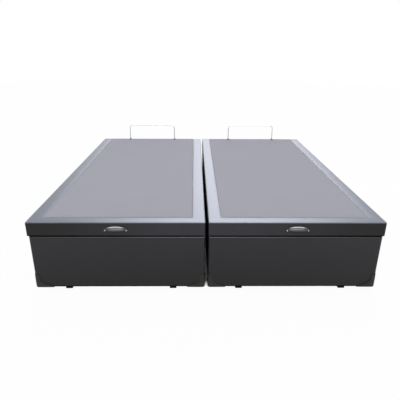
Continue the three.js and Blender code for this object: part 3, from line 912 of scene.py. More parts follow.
# %% Helpers: screw heads, tacks and staples
def add_screw(bm, place, direction, radius):
    """A domed screw head with a cross recess, sitting on a face."""
    pinch = 0.42  # how near to the middle the recess's pulled-in points come
    rise = radius * 0.45
    recess = radius * 0.55
    profile = [
        (radius, 0),
        (radius * 0.92, rise * 0.55),
        (recess, rise),
        (recess * 0.98, rise * 0.3),
        (0, rise * 0.25),
    ]
    made = turned(bm, profile, segments=12)
    for vert in made:
        out = math.hypot(vert.co.x, vert.co.y)
        quarter = math.degrees(math.atan2(vert.co.y, vert.co.x)) % 90
        in_recess = recess * 0.9 < out < recess * 1.01
        if in_recess and min(quarter, 90 - quarter) > 10:
            vert.co.x *= pinch
            vert.co.y *= pinch
    bmesh.ops.transform(bm, matrix=pointing(place, direction), verts=made)


def add_tack(bm, place, direction, radius):
    """A domed upholstery nail."""
    profile = [(radius * math.cos(a), radius * 0.5 * math.sin(a)) for a in (0, 0.4, 0.8, 1.2)]
    turned(bm, profile + [(0, radius * 0.5)], pointing(place, direction), segments=14)


def add_staple(bm, place, along):
    """The crown of a staple, pressed into the cloth that it holds."""
    length, width, proud, sunk = 10 * MM, 1.3 * MM, 0.25 * MM, 0.4 * MM
    half = (length / 2, width / 2) if along == "x" else (width / 2, length / 2)
    place = Vector(place)
    low = place - Vector((half[0], half[1], proud))
    high = place + Vector((half[0], half[1], sunk))
    add_box(bm, low, high)


# %% [markdown]
# ## The slot between chest and lid
#
# Seen from the foot end, a thin dark line parts the lid from the chest. The two rest on each
# other further in, but both turn round their edges there, so the outermost few millimetres
# stand apart. The chest's rim is therefore lowered a little and the lid's is lifted, more and more
# towards the outside, and the faces that turn round the edges get the fold finish, whose
# near-black, dull colour is painted shade in the slot and along the chest's lower edge.

# %% Helpers for the slot
ROLLED_EDGE = 3.6 * MM  # radius of the two edges that meet there
CHEST_DROP = 1.0 * MM  # how far the chest's rim lies below its top
LID_LIFT = 1.2 * MM  # how far the lid's rim lies above its underside
RIM_SLOPE = 14 * MM  # how far inside the rim, and from the slot, nothing is moved any more
RIM_EASE = 8 * MM  # over this height the move grows to its full size
RIM_CUTS = (RIM_SLOPE, 0.6 * RIM_SLOPE)  # cuts that let the top and underside slope
FOLD_HEIGHT = 7 * MM  # how far up from a cover's lower edge its painted shade reaches
FOLD_TOP = 2.2 * MM  # how far down from the chest's top its painted shade reaches


def rim_share(point, lo, hi):
    """1 at the rim of a plan, easing to 0 at RIM_SLOPE inside it."""
    share = ramp(from_rim(point.x, point.y, lo, hi), RIM_SLOPE)
    return 1 - share * share * (3 - 2 * share)


def move_rim(bm, level, distance, lo, hi):
    """Moves the rim at a level by a distance, up or down, away from the slot."""
    for vert in bm.verts:
        near = ramp(RIM_SLOPE - abs(vert.co.z - level), RIM_EASE)
        vert.co.z += distance * near * rim_share(vert.co, lo, hi)


def paint_fold_shade(piece, bottom, top):
    """Gives the faces below and above two levels, where a cover turns, the fold finish's painted
    shade.
    """
    piece.data.materials.append(fold_shade_leather)
    for polygon in piece.data.polygons:
        if not bottom < polygon.center.z < top:
            polygon.material_index = 1


# %% [markdown]
# ## The chest's cover
#
# On the real bed one long piece of leather goes round four chipboard walls. It is turned over
# their top edge and under their bottom edge, and is stapled there. It is cut here from a rounded
# box: planes mark the two turned-in strips, the faces between them are deleted, and the skin gets
# its thickness from a Solidify modifier. Leather on a flat board is never quite flat. It is
# slack by fractions of a millimetre, and it dips where a staple pulls at its edge.

# %% The chest's leather cover
COVER_EDGE = 4 * MM
TOP_RETURN = SKIN + WALL_BOARD
BOTTOM_RETURN = 30 * MM
STAPLE_PITCH = 70 * MM
STAPLE_REACH = 14 * MM  # from the stapled edge: how far a staple's pull is felt
LEATHER_CELL = 28 * MM  # spacing of the cuts that let the leather ripple


def pull_at(distance, along):
    """How far staples pull the leather in, near the edge that they hold, from 0 to 1."""
    beside = 0.5 + 0.5 * math.cos(math.tau * along / STAPLE_PITCH)
    return math.exp(-distance / STAPLE_REACH) * beside


def chest_slack(point):
    along = point.x + point.y
    slack = 0.7 * MM * wave(point, 0.30, 3) + 0.25 * MM * wave(point, 0.07, 8)
    top_pull = pull_at(abs(cover_hi.z - point.z), along)
    bottom_pull = pull_at(abs(point.z - cover_lo.z), along)
    return slack - 0.35 * MM * (top_pull + bottom_pull)


def chest_cover():
    bm = rounded_box(cover_lo, cover_hi, BASE_CORNER, ROLLED_EDGE, COVER_EDGE)
    for axis in (0, 1):
        lo, hi = cover_lo[axis], cover_hi[axis]
        for mark in (BOTTOM_RETURN, TOP_RETURN, *RIM_CUTS):
            slice_at(bm, axis, [lo + mark, hi - mark])
        slice_at(bm, axis, between(lo + BOTTOM_RETURN, hi - BOTTOM_RETURN, LEATHER_CELL))
    low, high = cover_lo.z + MM, cover_hi.z - MM
    delete_faces(bm, lambda p: p.z > high and within(p, cover_lo, cover_hi, TOP_RETURN))
    delete_faces(bm, lambda p: p.z < low and within(p, cover_lo, cover_hi, BOTTOM_RETURN))
    edge = ROLLED_EDGE + MM
    slice_at(bm, 2, between(cover_lo.z + edge, cover_hi.z - edge, LEATHER_CELL))
    slice_at(bm, 2, [cover_lo.z + edge, cover_lo.z + FOLD_HEIGHT, cover_hi.z - edge])
    move_rim(bm, cover_hi.z, -CHEST_DROP, cover_lo, cover_hi)
    move_out(bm, chest_slack)
    return bm


for piece in both_halves("base_leather", chest_cover(), chest_leather, "base", ["base_cover"]):
    thicken(piece, LEATHER)
    paint_fold_shade(piece, cover_lo.z + FOLD_HEIGHT, cover_hi.z - FOLD_TOP)

# %% Staples that hold the cover under the chest
def staple_row(bm, lo, hi, inset, z):
    """Staples all round a plan, a little inside its edge."""
    for x in between(lo.x, hi.x, STAPLE_PITCH):
        for y in (lo.y + inset, hi.y - inset):
            add_staple(bm, (x, y, z), "x")
    for y in between(lo.y, hi.y, STAPLE_PITCH):
        for x in (lo.x + inset, hi.x - inset):
            add_staple(bm, (x, y, z), "y")


def chest_staples():
    bm = bmesh.new()
    staple_row(bm, cover_lo, cover_hi, BOTTOM_RETURN - 8 * MM, cover_lo.z)
    return bm


both_halves("base_staples", chest_staples(), zinc_plate, "base")

# %% [markdown]
# ## The lid's covers
#
# Two skins share one rounded box, which is the whole lid. Below the seam it is the charcoal band
# round the sides, turned under the rails. Above the seam, on top of the lid, it is the blue-grey
# border, which leaves a window for the deck fabric. The border is wide along three sides and only
# a narrow strip at the head end. Where the two skins are sewn together both dip inwards and make
# a fine groove. Foam under the border gives it a slight crown, and its edge wanders a little.

# %% Shapes of the lid's upholstery
SEAM_DROP = 3.2 * MM  # the seam lies this far below the lid's top
SEAM_TUCK = 0.6 * MM  # how far both skins dip into it
SEAM_REACH = 1.4 * MM  # from the seam: how far the dip is felt
LID_RETURN = 24 * MM
LID_EDGE = 4.5 * MM
CROWN = 1.3 * MM
DECK_DIP = 0.5 * MM  # how far the border is pulled down along the deck's seam
DECK_DIP_REACH = 5 * MM
BORDER_SKIN = 1.5 * MM
HEAD_STRIP = 9 * MM  # the border's width at the head end
seam_z = lid_top - SEAM_DROP
deck_lo = Vector((lid_lo.x + BORDER_WIDTH, lid_lo.y + BORDER_WIDTH, 0))
deck_hi = Vector((lid_hi.x - BORDER_WIDTH, lid_hi.y - HEAD_STRIP, 0))


def border_rise(x, y):
    """How far the border stands above the lid's nominal top."""
    out = from_rim(x, y, lid_lo, lid_hi)
    share = ramp(out, BORDER_WIDTH)
    crown = CROWN * math.sin(math.pi * share) ** 0.7
    dip = DECK_DIP * math.exp(-(BORDER_WIDTH - out) / DECK_DIP_REACH)
    uneven = 0.8 * MM * wave((x, y, 0), 0.16, 4) + 0.3 * MM * wave((x, y, 0), 0.05, 9)
    return crown - dip + uneven * math.sin(math.pi * min(share + 0.25, 1)) ** 2


def seam_tuck(point):
    """How far a skin dips towards the seam at a point."""
    return SEAM_TUCK * math.exp(-abs(point.z - seam_z) / SEAM_REACH)


def lid_slack(point):
    staples = 0.3 * MM * pull_at(abs(point.z - lid_lo.z), point.x + point.y)
    slack = 0.45 * MM * wave(point, 0.22, 6) + 0.2 * MM * wave(point, 0.06, 2)
    return slack - seam_tuck(point) - staples


# %% The charcoal band round the lid
def lid_band():
    bm = rounded_box(lid_lo, lid_hi, LID_CORNER, LID_EDGE, ROLLED_EDGE, edge_steps=5)
    slice_at(bm, 2, [seam_z])
    delete_faces(bm, lambda p: p.z > seam_z)
    for axis in (0, 1):
        lo, hi = lid_lo[axis], lid_hi[axis]
        for mark in (LID_RETURN, *RIM_CUTS):
            slice_at(bm, axis, [lo + mark, hi - mark])
        slice_at(bm, axis, between(lo + LID_RETURN, hi - LID_RETURN, LEATHER_CELL))
    delete_faces(bm, lambda p: p.z < lid_lo.z + MM and within(p, lid_lo, lid_hi, LID_RETURN))
    fold = ROLLED_EDGE + MM
    slice_at(bm, 2, between(lid_lo.z + fold, seam_z - 6 * MM, 12 * MM))
    slice_at(bm, 2, [lid_lo.z + fold, lid_lo.z + FOLD_HEIGHT - LID_LIFT])
    slice_at(bm, 2, [seam_z - 6 * MM, seam_z - 3 * MM, seam_z - 1.2 * MM])
    move_rim(bm, lid_lo.z, LID_LIFT, lid_lo, lid_hi)
    move_out(bm, lid_slack)
    return bm


for piece in both_halves("lid_leather", lid_band(), band_leather, "{side}_lid", ["lid_band"]):
    thicken(piece, LEATHER)
    paint_fold_shade(piece, lid_lo.z + FOLD_HEIGHT, lid_hi.z)

# %% The border on top
def lid_border():
    bm = rounded_box(lid_lo, lid_hi, LID_CORNER, LID_EDGE, ROLLED_EDGE, edge_steps=5)
    slice_at(bm, 2, [seam_z])
    delete_faces(bm, lambda p: p.z < seam_z)
    for axis in (0, 1):
        lo, hi = lid_lo[axis], lid_hi[axis]
        near_seam = [BORDER_WIDTH - step * MM for step in (0, 3, 7, 12, 20)]
        marks = near_seam + [30 * MM, 18 * MM, 10 * MM]
        slice_at(bm, axis, [lo + mark for mark in marks] + [hi - mark for mark in marks])
        slice_at(bm, axis, between(lo + BORDER_WIDTH, hi - BORDER_WIDTH, 20 * MM))
    slice_at(bm, 1, [deck_hi.y])
    delete_faces(bm, lambda p: within(p, deck_lo, deck_hi, 0))
    slice_at(bm, 2, [seam_z + 0.9 * MM])
    for vert in bm.verts:
        top_share = ramp(vert.co.z - seam_z, SEAM_DROP)
        vert.co.z += top_share * border_rise(vert.co.x, vert.co.y)
    move_out(bm, lambda point: -seam_tuck(point))
    return bm


for piece in both_halves("lid_border_leather", lid_border(), border_leather, "{side}_lid",
                         ["lid_border"]):
    thicken(piece, BORDER_SKIN)

# %% [markdown]
# ## The deck pad
#
# Foam with the non-woven fabric bonded to it. It is a thin closed form: a sheet that lies under
# the border, with its middle raised into the window. Cloth simulation makes the padding real:
# air pressure swells the free part, while the sheet under the border and the underside are
# pinned, and a cap keeps the swelling to under three millimetres, because the seam and the board
# hold the real one nearly flat. The window's rim stays down, where it meets the border in a seam.

# %% The pad's closed form
PAD_UNDER_BORDER = lid_top - 3.6 * MM  # top of the sheet where the border covers it
PAD_CELL = 22 * MM
DECK_GAP = 0.4 * MM


def pad_form():
    top = Vector((pad_hi.x, pad_hi.y, PAD_UNDER_BORDER))
    bm = rounded_box(pad_lo, top, LID_CORNER - SKIN, 2 * MM, 2 * MM, 4, 2)
    for axis in (0, 1):
        slice_at(bm, axis, [deck_lo[axis] + DECK_GAP, deck_hi[axis] - DECK_GAP])
    window = [
        face for face in bm.faces
        if face.calc_center_median().z > PAD_UNDER_BORDER - 0.1 * MM
        and within(face.calc_center_median(), deck_lo, deck_hi, 0)
    ]
    lifted = bmesh.ops.extrude_face_region(bm, geom=window)["geom"]
    bmesh.ops.delete(bm, geom=window, context="FACES_ONLY")
    raised = [part for part in lifted if isinstance(part, bmesh.types.BMVert)]
    rise = lid_top - DECK_DIP - PAD_UNDER_BORDER
    bmesh.ops.translate(bm, vec=(0, 0, rise), verts=raised)
    for axis in (0, 1):
        lo, hi = deck_lo[axis], deck_hi[axis]
        for step in (2 * MM, 5 * MM, 10 * MM):
            slice_at(bm, axis, [lo + step, hi - step])
        slice_at(bm, axis, between(lo + 10 * MM, hi - 10 * MM, PAD_CELL))
    return bm


# %% The holes for the mattress bar's two legs
LEG_RADIUS = 4.75 * MM
LEG_NOTCH = 7 * MM  # half the side of the square hole for a leg, which its bushing covers
leg_places = [
    Vector((x, (bar_lo.y + bar_hi.y) / 2, lid_top))
    for x in (bar_lo.x + LEG_RADIUS, bar_hi.x - LEG_RADIUS)
]


def beside_leg(point, leg, reach):
    """Whether a point lies in the square of half side reach round a leg."""
    return max(abs(point.x - leg.x), abs(point.y - leg.y)) < reach


def cut_leg_holes(bm):
    """Cuts the holes through the pad and closes their walls."""
    for leg in leg_places:
        slice_at(bm, 0, [leg.x - LEG_NOTCH, leg.x + LEG_NOTCH])
    slice_at(bm, 1, [leg_places[0].y - LEG_NOTCH, leg_places[0].y + LEG_NOTCH])
    delete_faces(bm, lambda p: any(beside_leg(p, leg, LEG_NOTCH) for leg in leg_places))
    for leg in leg_places:
        rims = [
            edge for edge in bm.edges
            if edge.is_boundary and beside_leg(edge.verts[0].co, leg, 2 * LEG_NOTCH)
        ]
        bmesh.ops.bridge_loops(bm, edges=rims)
    bmesh.ops.recalc_face_normals(bm, faces=bm.faces)


# %% Swelling the pad with cloth
PAD_PRESSURE = 4.0
PAD_STEPS = 20
PAD_SWELL = 2.4 * MM  # the cap
PAD_HELD_RIM = 1.5 * MM  # a strip this wide along the window's rim stays pinned


def run_cloth(blown, pinned):
    """Blows an object up with cloth pressure, and gives where its points are then."""
    held = blown.vertex_groups.new(name="held")
    held.add(pinned, 1.0, "REPLACE")
    cloth = blown.modifiers.new("Cloth", "CLOTH")
    cloth.settings.quality = 4
    cloth.settings.mass = 0.3
    cloth.settings.vertex_group_mass = "held"
    cloth.settings.use_pressure = True
    cloth.settings.uniform_pressure_force = PAD_PRESSURE
    cloth.settings.effector_weights.gravity = 0.0
    cloth.point_cache.frame_start = 1
    cloth.point_cache.frame_end = PAD_STEPS
    for step in range(1, PAD_STEPS + 1):
        bpy.context.scene.frame_set(step)
    graph = bpy.context.evaluated_depsgraph_get()
    moved = [vert.co.copy() for vert in blown.evaluated_get(graph).data.vertices]
    bpy.context.scene.frame_set(1)
    return moved


def swell(bm, free, cap):
    """Moves the free points of a closed form outwards with cloth, none further than a cap."""
    mesh = bpy.data.meshes.new("pad_at_rest")
    bm.to_mesh(mesh)
    blown = bpy.data.objects.new("pad_at_rest", mesh)
    bpy.context.scene.collection.objects.link(blown)
    moved = run_cloth(blown, [v.index for v in mesh.vertices if not free(v.co)])
    farthest = 0.0
    for vert, goal in zip(bm.verts, moved):
        move = goal - vert.co
        farthest = max(farthest, move.length)
        if move.length > 1e-7:
            vert.co += move * (cap * math.tanh(move.length / cap) / move.length)
    print(f"pad: cloth moved it up to {farthest / MM:.1f} mm, capped to {cap / MM:.1f} mm")
    bpy.data.objects.remove(blown)
    bpy.data.meshes.remove(mesh)


def in_window(point):
    """Whether a point of the pad lies on the raised part, inside its pinned rim."""
    raised = point.z > PAD_UNDER_BORDER + 0.1 * MM
    return raised and within(point, deck_lo, deck_hi, PAD_HELD_RIM)


pad = pad_form()
swell(pad, in_window, PAD_SWELL)
cut_leg_holes(pad)
for piece in both_halves("deck_pad", pad, deck_fabric, "{side}_lid", ["lid_pad"]):
    refine(piece)

# %% [markdown]
# ## Stitching
#
# A sewn seam is a row of short threads that sink into the leather at both ends. Each stitch is a
# small stretched ball of 24 faces, laid along the seam at the machine's stitch length.

# %% Rows of stitches on the lid
STITCH_PITCH = 7 * MM
STITCH_LENGTH = 5 * MM
STITCH_RADIUS = 0.55 * MM
BORDER_STITCH_INSET = 6 * MM  # from the deck's seam
BAND_STITCH_DROP = 4 * MM  # below the seam between band and border


def one_stitch(along):
    """One thread between two needle holes at the origin, along X (0) or Y (1)."""
    size = [STITCH_RADIUS] * 3
    size[along] = STITCH_LENGTH / 2
    bm = bmesh.new()
    bmesh.ops.create_uvsphere(bm, u_segments=6, v_segments=4, radius=1.0)
    bmesh.ops.scale(bm, vec=size, verts=bm.verts)
    bm.verts.index_update()
    return bm


def add_copies(bm, pattern, places):
    """Adds a copy of a small mesh at each place."""
    for place in places:
        verts = [bm.verts.new(vert.co + place) for vert in pattern.verts]
        for face in pattern.faces:
            bm.faces.new([verts[vert.index] for vert in face.verts])


def border_stitches():
    """Along the inner edge of the border, where it is sewn to the deck."""
    inset = BORDER_WIDTH - BORDER_STITCH_INSET
    x_ends = (lid_lo.x + inset, lid_hi.x - inset)
    foot_end, head_end = lid_lo.y + inset, lid_hi.y - HEAD_STRIP

    def on_border(x, y):
        return Vector((x, y, lid_top + border_rise(x, y)))

    across = [on_border(x, foot_end) for x in between(*x_ends, STITCH_PITCH)]
    along = between(foot_end, head_end, STITCH_PITCH)
    lengthwise = [on_border(x, y) for y in along for x in x_ends]
    bm = bmesh.new()
    add_copies(bm, one_stitch(0), across)
    add_copies(bm, one_stitch(1), lengthwise)
    return bm


def band_stitches():
    """Along the lid's four sides, just under the seam with the border."""
    z = seam_z - BAND_STITCH_DROP
    across = []
    for x in between(lid_lo.x + LID_CORNER, lid_hi.x - LID_CORNER, STITCH_PITCH):
        for y, out in ((lid_lo.y, -1), (lid_hi.y, 1)):
            across.append(Vector((x, y + out * lid_slack(Vector((x, y, z))), z)))
    lengthwise = []
    for y in between(lid_lo.y + LID_CORNER, lid_hi.y - LID_CORNER, STITCH_PITCH):
        for x, out in ((lid_lo.x, -1), (lid_hi.x, 1)):
            lengthwise.append(Vector((x + out * lid_slack(Vector((x, y, z))), y, z)))
    bm = bmesh.new()
    add_copies(bm, one_stitch(0), across)
    add_copies(bm, one_stitch(1), lengthwise)
    return bm


both_halves("border_stitches", border_stitches(), silver_thread, "{side}_lid")
both_halves("band_stitches", band_stitches(), black_thread, "{side}_lid")

# %% Staples under the lid
def lid_staples():
    bm = bmesh.new()
    staple_row(bm, lid_lo, lid_hi, LID_RETURN - 7 * MM, lid_lo.z)
    return bm


both_halves("lid_staples", lid_staples(), zinc_plate, "{side}_lid")

# %% [markdown]
# ## The cup handle
#
# A half-moon cup pull, drawn from one sheet of metal. A sphere is stretched to the cup's three
# sizes. One plane cuts it at the lid's face and another cuts its underside open. The edge against
# the lid is then extruded outwards for the flange, and Solidify gives the sheet its thickness.

# %% The cup handle
HANDLE_WALL = 2.2 * MM
HANDLE_FLANGE = 5 * MM


def cup_handle():
    half_width = (handle_hi.x - handle_lo.x) / 2
    rise = handle_hi.z - handle_lo.z
    face = lid_lo.y - SEAT - HANDLE_WALL
    depth = face - handle_lo.y
    base = Vector(((handle_lo.x + handle_hi.x) / 2, face, handle_lo.z))
    dome_half, dome_rise = half_width - HANDLE_FLANGE, rise - HANDLE_FLANGE
    bm = bmesh.new()
    poles_on_x = Matrix.Rotation(math.pi / 2, 4, "Y")
    bmesh.ops.create_uvsphere(bm, u_segments=56, v_segments=40, radius=1.0, matrix=poles_on_x)
    bmesh.ops.scale(bm, vec=(dome_half, depth, dome_rise), verts=bm.verts)
    bmesh.ops.translate(bm, vec=base, verts=bm.verts)
    for normal in ((0, 1, 0), (0, 0, -1)):
        everything = bm.verts[:] + bm.edges[:] + bm.faces[:]
        bmesh.ops.bisect_plane(
            bm, geom=everything, dist=1e-5, plane_co=base, plane_no=normal, clear_outer=True)
    rim = [
        edge for edge in bm.edges
        if edge.is_boundary and all(abs(v.co.y - face) < 0.05 * MM for v in edge.verts)
    ]
    ring = bmesh.ops.extrude_edge_only(bm, edges=rim)["geom"]
    outer = [part for part in ring if isinstance(part, bmesh.types.BMVert)]
    to_flange = (half_width / dome_half, 1, rise / dome_rise)
    centred = Matrix.Translation(-base)
    bmesh.ops.scale(bm, vec=to_flange, verts=outer, space=centred)
    bmesh.ops.remove_doubles(bm, verts=bm.verts, dist=0.05 * MM)
    bmesh.ops.recalc_face_normals(bm, faces=bm.faces)
    if sum(face.normal.y for face in bm.faces) > 0:
        bmesh.ops.reverse_faces(bm, faces=bm.faces)
    return bm


for piece in both_halves("cup_handle", cup_handle(), satin_nickel, "{side}_lid", ["handle"]):
    thicken(piece, HANDLE_WALL)
    soften(piece, 0.7 * MM, 3)

# %% Its two polished ears and their screws
EAR_RADIUS = 4.3 * MM
EAR_PROUD = HANDLE_WALL + 0.6 * MM


def ear_places():
    middle = (handle_lo.x + handle_hi.x) / 2
    reach = (handle_hi.x - handle_lo.x) / 2 - 1.3 * EAR_RADIUS
    for x in (middle - reach, middle + reach):
        yield Vector((x, lid_lo.y - SEAT, handle_lo.z + 0.15 * EAR_RADIUS))


def handle_ears():
    profile = [
        (0, 0), (EAR_RADIUS, 0), (EAR_RADIUS, EAR_PROUD - MM),
        (EAR_RADIUS - 0.3 * MM, EAR_PROUD - 0.3 * MM), (EAR_RADIUS - MM, EAR_PROUD),
        (0, EAR_PROUD),
    ]
    bm = bmesh.new()
    for place in ear_places():
        turned(bm, profile, pointing(place, (0, -1, 0)), 28)
    return bm


def handle_screws():
    bm = bmesh.new()
    for place in ear_places():
        add_screw(bm, place - Vector((0, EAR_PROUD, 0)), (0, -1, 0), 2.8 * MM)
    return bm


both_halves("cup_handle_ears", handle_ears(), chrome, "{side}_lid")
both_halves("cup_handle_screws", handle_screws(), zinc_plate, "{side}_lid")

# %% [markdown]
# ## The mattress bar
#
# A chromed rod with two bends, whose legs plug into the lid. It is a circle that is extruded up,
# spun a quarter turn round the first bend's centre, extruded across, spun round the second and
# extruded down, which is the same order as on a bending machine. A black bushing sits round
# each leg on the deck.

# %% The bent mattress bar
BEND_RADIUS = 30 * MM
BEND_STEPS = 10
bar_axis_z = bar_hi.z - LEG_RADIUS


def open_edges(bm, near):
    """The edges of the open end that lies near a point."""
    return [
        edge for edge in bm.edges
        if len(edge.link_faces) < 2
        and all((v.co - near).length < 2 * LEG_RADIUS for v in edge.verts)
    ]


def extend(bm, end, move):
    """Extrudes the open end near a point, and gives where it is then."""
    made = bmesh.ops.extrude_edge_only(bm, edges=open_edges(bm, end))["geom"]
    verts = [part for part in made if isinstance(part, bmesh.types.BMVert)]
    bmesh.ops.translate(bm, vec=move, verts=verts)
    return end + Vector(move)


def bend(bm, end, centre):
    """Spins the open end a quarter turn round a bend's centre, towards +X and down."""
    edges = open_edges(bm, end)
    verts = list({vert for edge in edges for vert in edge.verts})
    bmesh.ops.spin(
        bm, geom=verts + edges, cent=centre, axis=(0, 1, 0), dvec=(0, 0, 0),
        angle=math.pi / 2, steps=BEND_STEPS, use_merge=False, use_duplicate=False,
    )
    return Matrix.Rotation(math.pi / 2, 3, "Y") @ (end - centre) + centre


def mattress_bar():
    left, right = (Vector((leg.x, leg.y, bar_lo.z)) for leg in leg_places)
    bend_level = bar_axis_z - BEND_RADIUS
    bm = bmesh.new()
    bmesh.ops.create_circle(
        bm, segments=24, radius=LEG_RADIUS, matrix=Matrix.Translation(left))
    end = extend(bm, left, (0, 0, bend_level - left.z))
    end = bend(bm, end, Vector((left.x + BEND_RADIUS, left.y, bend_level)))
    end = extend(bm, end, (right.x - left.x - 2 * BEND_RADIUS, 0, 0))
    end = bend(bm, end, Vector((right.x - BEND_RADIUS, right.y, bend_level)))
    extend(bm, end, (0, 0, left.z - bend_level))
    bmesh.ops.holes_fill(bm, edges=[edge for edge in bm.edges if edge.is_boundary])
    bmesh.ops.recalc_face_normals(bm, faces=bm.faces)
    return bm


for piece in both_halves("bent_bar", mattress_bar(), chrome, "{side}_lid", ["mattress_bar"]):
    soften(piece, 0.6 * MM)

# %% The bushings round its legs
BUSHING_SEAT = 0.5 * MM  # the deck's height above the lid's nominal top there
BUSHING_DEPTH = 6 * MM  # how far the sleeve goes into the pad


def leg_bushings():
    bm = bmesh.new()
    inner = LEG_RADIUS + 0.1 * MM
    top = BUSHING_SEAT
    profile = [
        (inner, -BUSHING_DEPTH),
        (inner, top + 6.5 * MM),
        (inner + 1.4 * MM, top + 6.8 * MM),
        (inner + 2.2 * MM, top + 6.0 * MM),
        (inner + 2.8 * MM, top + 3.0 * MM),
        (inner + 6.4 * MM, top + 2.4 * MM),
        (inner + 7.4 * MM, top + 1.5 * MM),
        (inner + 7.4 * MM, top - 0.6 * MM),
        (inner + 1.2 * MM, top - 0.6 * MM),
        (inner + 1.2 * MM, -BUSHING_DEPTH),
    ]
    for leg in leg_places:
        turned(bm, profile, Matrix.Translation(leg), 32, closed=True)
    return bm


both_halves("bar_bushings", leg_bushings(), foot_plastic, "{side}_lid")

# %% [markdown]
# ## Corner guards
#
# Moulded plastic wraps each lower corner of the chest. It is drawn flat first: a grid whose
# columns run along the wall and whose rows run up it, with the top row following the guard's
# swept outline. Then each point is bent twice, under the chest's bottom edge and round its
# upright corner. A flat plate under the chest and nails hold it. The CAD holds the four guards at
# the foot end. The head end has the same ones.

# %% The guard's outline and its two bends
GUARD_WALL = 1.6 * MM
GUARD_HEIGHT = 84 * MM
GUARD_REACH = 98 * MM
GUARD_DROP = 5 * MM  # how far it reaches below the chest's bottom edge
GUARD_HEM = 12 * MM  # its whole height at the far tip
GUARD_WAIST = 26 * MM
GUARD_SHOULDER = 59 * MM
GUARD_ROUND = 8 * MM
GUARD_LIP = 4 * MM
GUARD_BULGE = 1.6 * MM  # how far its middle stands off the cover
guard_outside = SEAT + GUARD_WALL
guard_radius = BASE_CORNER + guard_outside
guard_fold = GUARD_ROUND - GUARD_DROP  # the level at which it starts to turn under


def guard_top(along):
    """The guard's height at a distance from the corner."""
    out = abs(along)
    cap_start = GUARD_WAIST / 2
    if out <= cap_start:
        return GUARD_HEIGHT
    if out <= GUARD_WAIST:
        share = (out - cap_start) / (GUARD_WAIST - cap_start)
        return GUARD_SHOULDER + (GUARD_HEIGHT - GUARD_SHOULDER) * math.sqrt(1 - share**2)
    k = math.sqrt((out - GUARD_WAIST) / (GUARD_REACH - GUARD_WAIST))
    tip = GUARD_HEM - GUARD_DROP
    pull = tip + GUARD_HEM
    return k**2 * tip + 2 * (1 - k) * k * pull + (1 - k) ** 2 * GUARD_SHOULDER


def wrap(along, up, bulge):
    """From the flat guard to the corner, whose faces lie along +X and +Y from the origin."""
    turn_under = max(guard_fold - up, 0) / GUARD_ROUND
    if turn_under <= math.pi / 2:
        inwards = GUARD_ROUND * (1 - math.cos(turn_under))
        height = up if up > guard_fold else guard_fold - GUARD_ROUND * math.sin(turn_under)
    else:
        inwards = GUARD_ROUND + (turn_under - math.pi / 2) * GUARD_ROUND
        height = -GUARD_DROP
    inwards -= bulge
    half_arc = guard_radius * math.pi / 4
    centre = BASE_CORNER
    if abs(along) <= half_arc:
        angle = 1.25 * math.pi + along / guard_radius
        reach = guard_radius - inwards
        return Vector((centre + reach * math.cos(angle), centre + reach * math.sin(angle), height))
    straight = centre + abs(along) - half_arc
    if along > 0:
        return Vector((straight, inwards - guard_outside, height))
    return Vector((inwards - guard_outside, straight, height))


def guard_shell():
    """One guard at the origin, with its lower edge turned under the chest."""
    columns, under_rows, face_rows = 112, 7, 16
    lowest = guard_fold - (math.pi / 2 * GUARD_ROUND + GUARD_LIP)
    bm = bmesh.new()
    bmesh.ops.create_grid(
        bm, x_segments=columns, y_segments=under_rows + face_rows, size=1.0)
    for vert in bm.verts:
        along = vert.co.x * GUARD_REACH
        row = round((vert.co.y + 1) / 2 * (under_rows + face_rows))
        top = guard_top(along)
        if row <= under_rows:
            up = lowest + (guard_fold - lowest) * row / under_rows
        else:
            up = guard_fold + (top - guard_fold) * (row - under_rows) / face_rows
        middle = max(up, 0) / top
        tip = 1 - (abs(along) / GUARD_REACH) ** 6
        bulge = GUARD_BULGE * (1 - middle**4) * tip * (1 if up > 0 else 0.8)
        vert.co = wrap(along, up, bulge)
    bmesh.ops.recalc_face_normals(bm, faces=bm.faces)
    if sum(face.normal.x + face.normal.y for face in bm.faces) > 0:
        bmesh.ops.reverse_faces(bm, faces=bm.faces)
    return bm


# %% The guards on the four corners of a chest
def guard_corners():
    """(name, corner, which way its faces run, the CAD node it stands for)"""
    for end, y, along_y in (("", cover_lo.y, 1), ("rear_", cover_hi.y, -1)):
        for place, x, along_x in (("inner", cover_lo.x, 1), ("outer", cover_hi.x, -1)):
            node = f"corner_guard_{place}" if not end else None
            yield f"{end}guard_{place}", Vector((x, y, cover_lo.z)), (along_x, along_y, 1), node


def put_at_corner(bm, corner, ways):
    bmesh.ops.scale(bm, vec=ways, verts=bm.verts)
    if ways[0] * ways[1] < 0:
        bmesh.ops.reverse_faces(bm, faces=bm.faces)
    bmesh.ops.translate(bm, vec=corner, verts=bm.verts)


GUARD_PLATE = 54 * MM  # the side of the square plate under the chest
PLATE_CORNER = 12 * MM
NAIL_PLACES = ((17, 66), (20, 22), (66, 9))  # along the wall and up, in mm, for one face
NAIL_SEAT = 1.3 * MM


def guard_plate():
    """The flat plate under the chest, for a guard at the origin."""
    bm = bmesh.new()
    under = -SEAT
    add_box(bm, (2 * MM, 2 * MM, under - GUARD_WALL), (GUARD_PLATE, GUARD_PLATE, under))
    upright = [
        e for e in bm.edges
        if runs_along(e, 2) and e.verts[0].co.x + e.verts[0].co.y > GUARD_PLATE * 1.5
    ]
    round_edges(bm, upright, PLATE_CORNER, 6)
    return bm


def guard_nails():
    """Three nails in each of its two faces."""
    bm = bmesh.new()
    for along, up in [(face * far, up) for face in (1, -1) for far, up in NAIL_PLACES]:
        place = wrap(along * MM, up * MM, NAIL_SEAT)
        direction = (0, -1, 0) if along > 0 else (-1, 0, 0)
        add_tack(bm, place, direction, 3.6 * MM)
    return bm


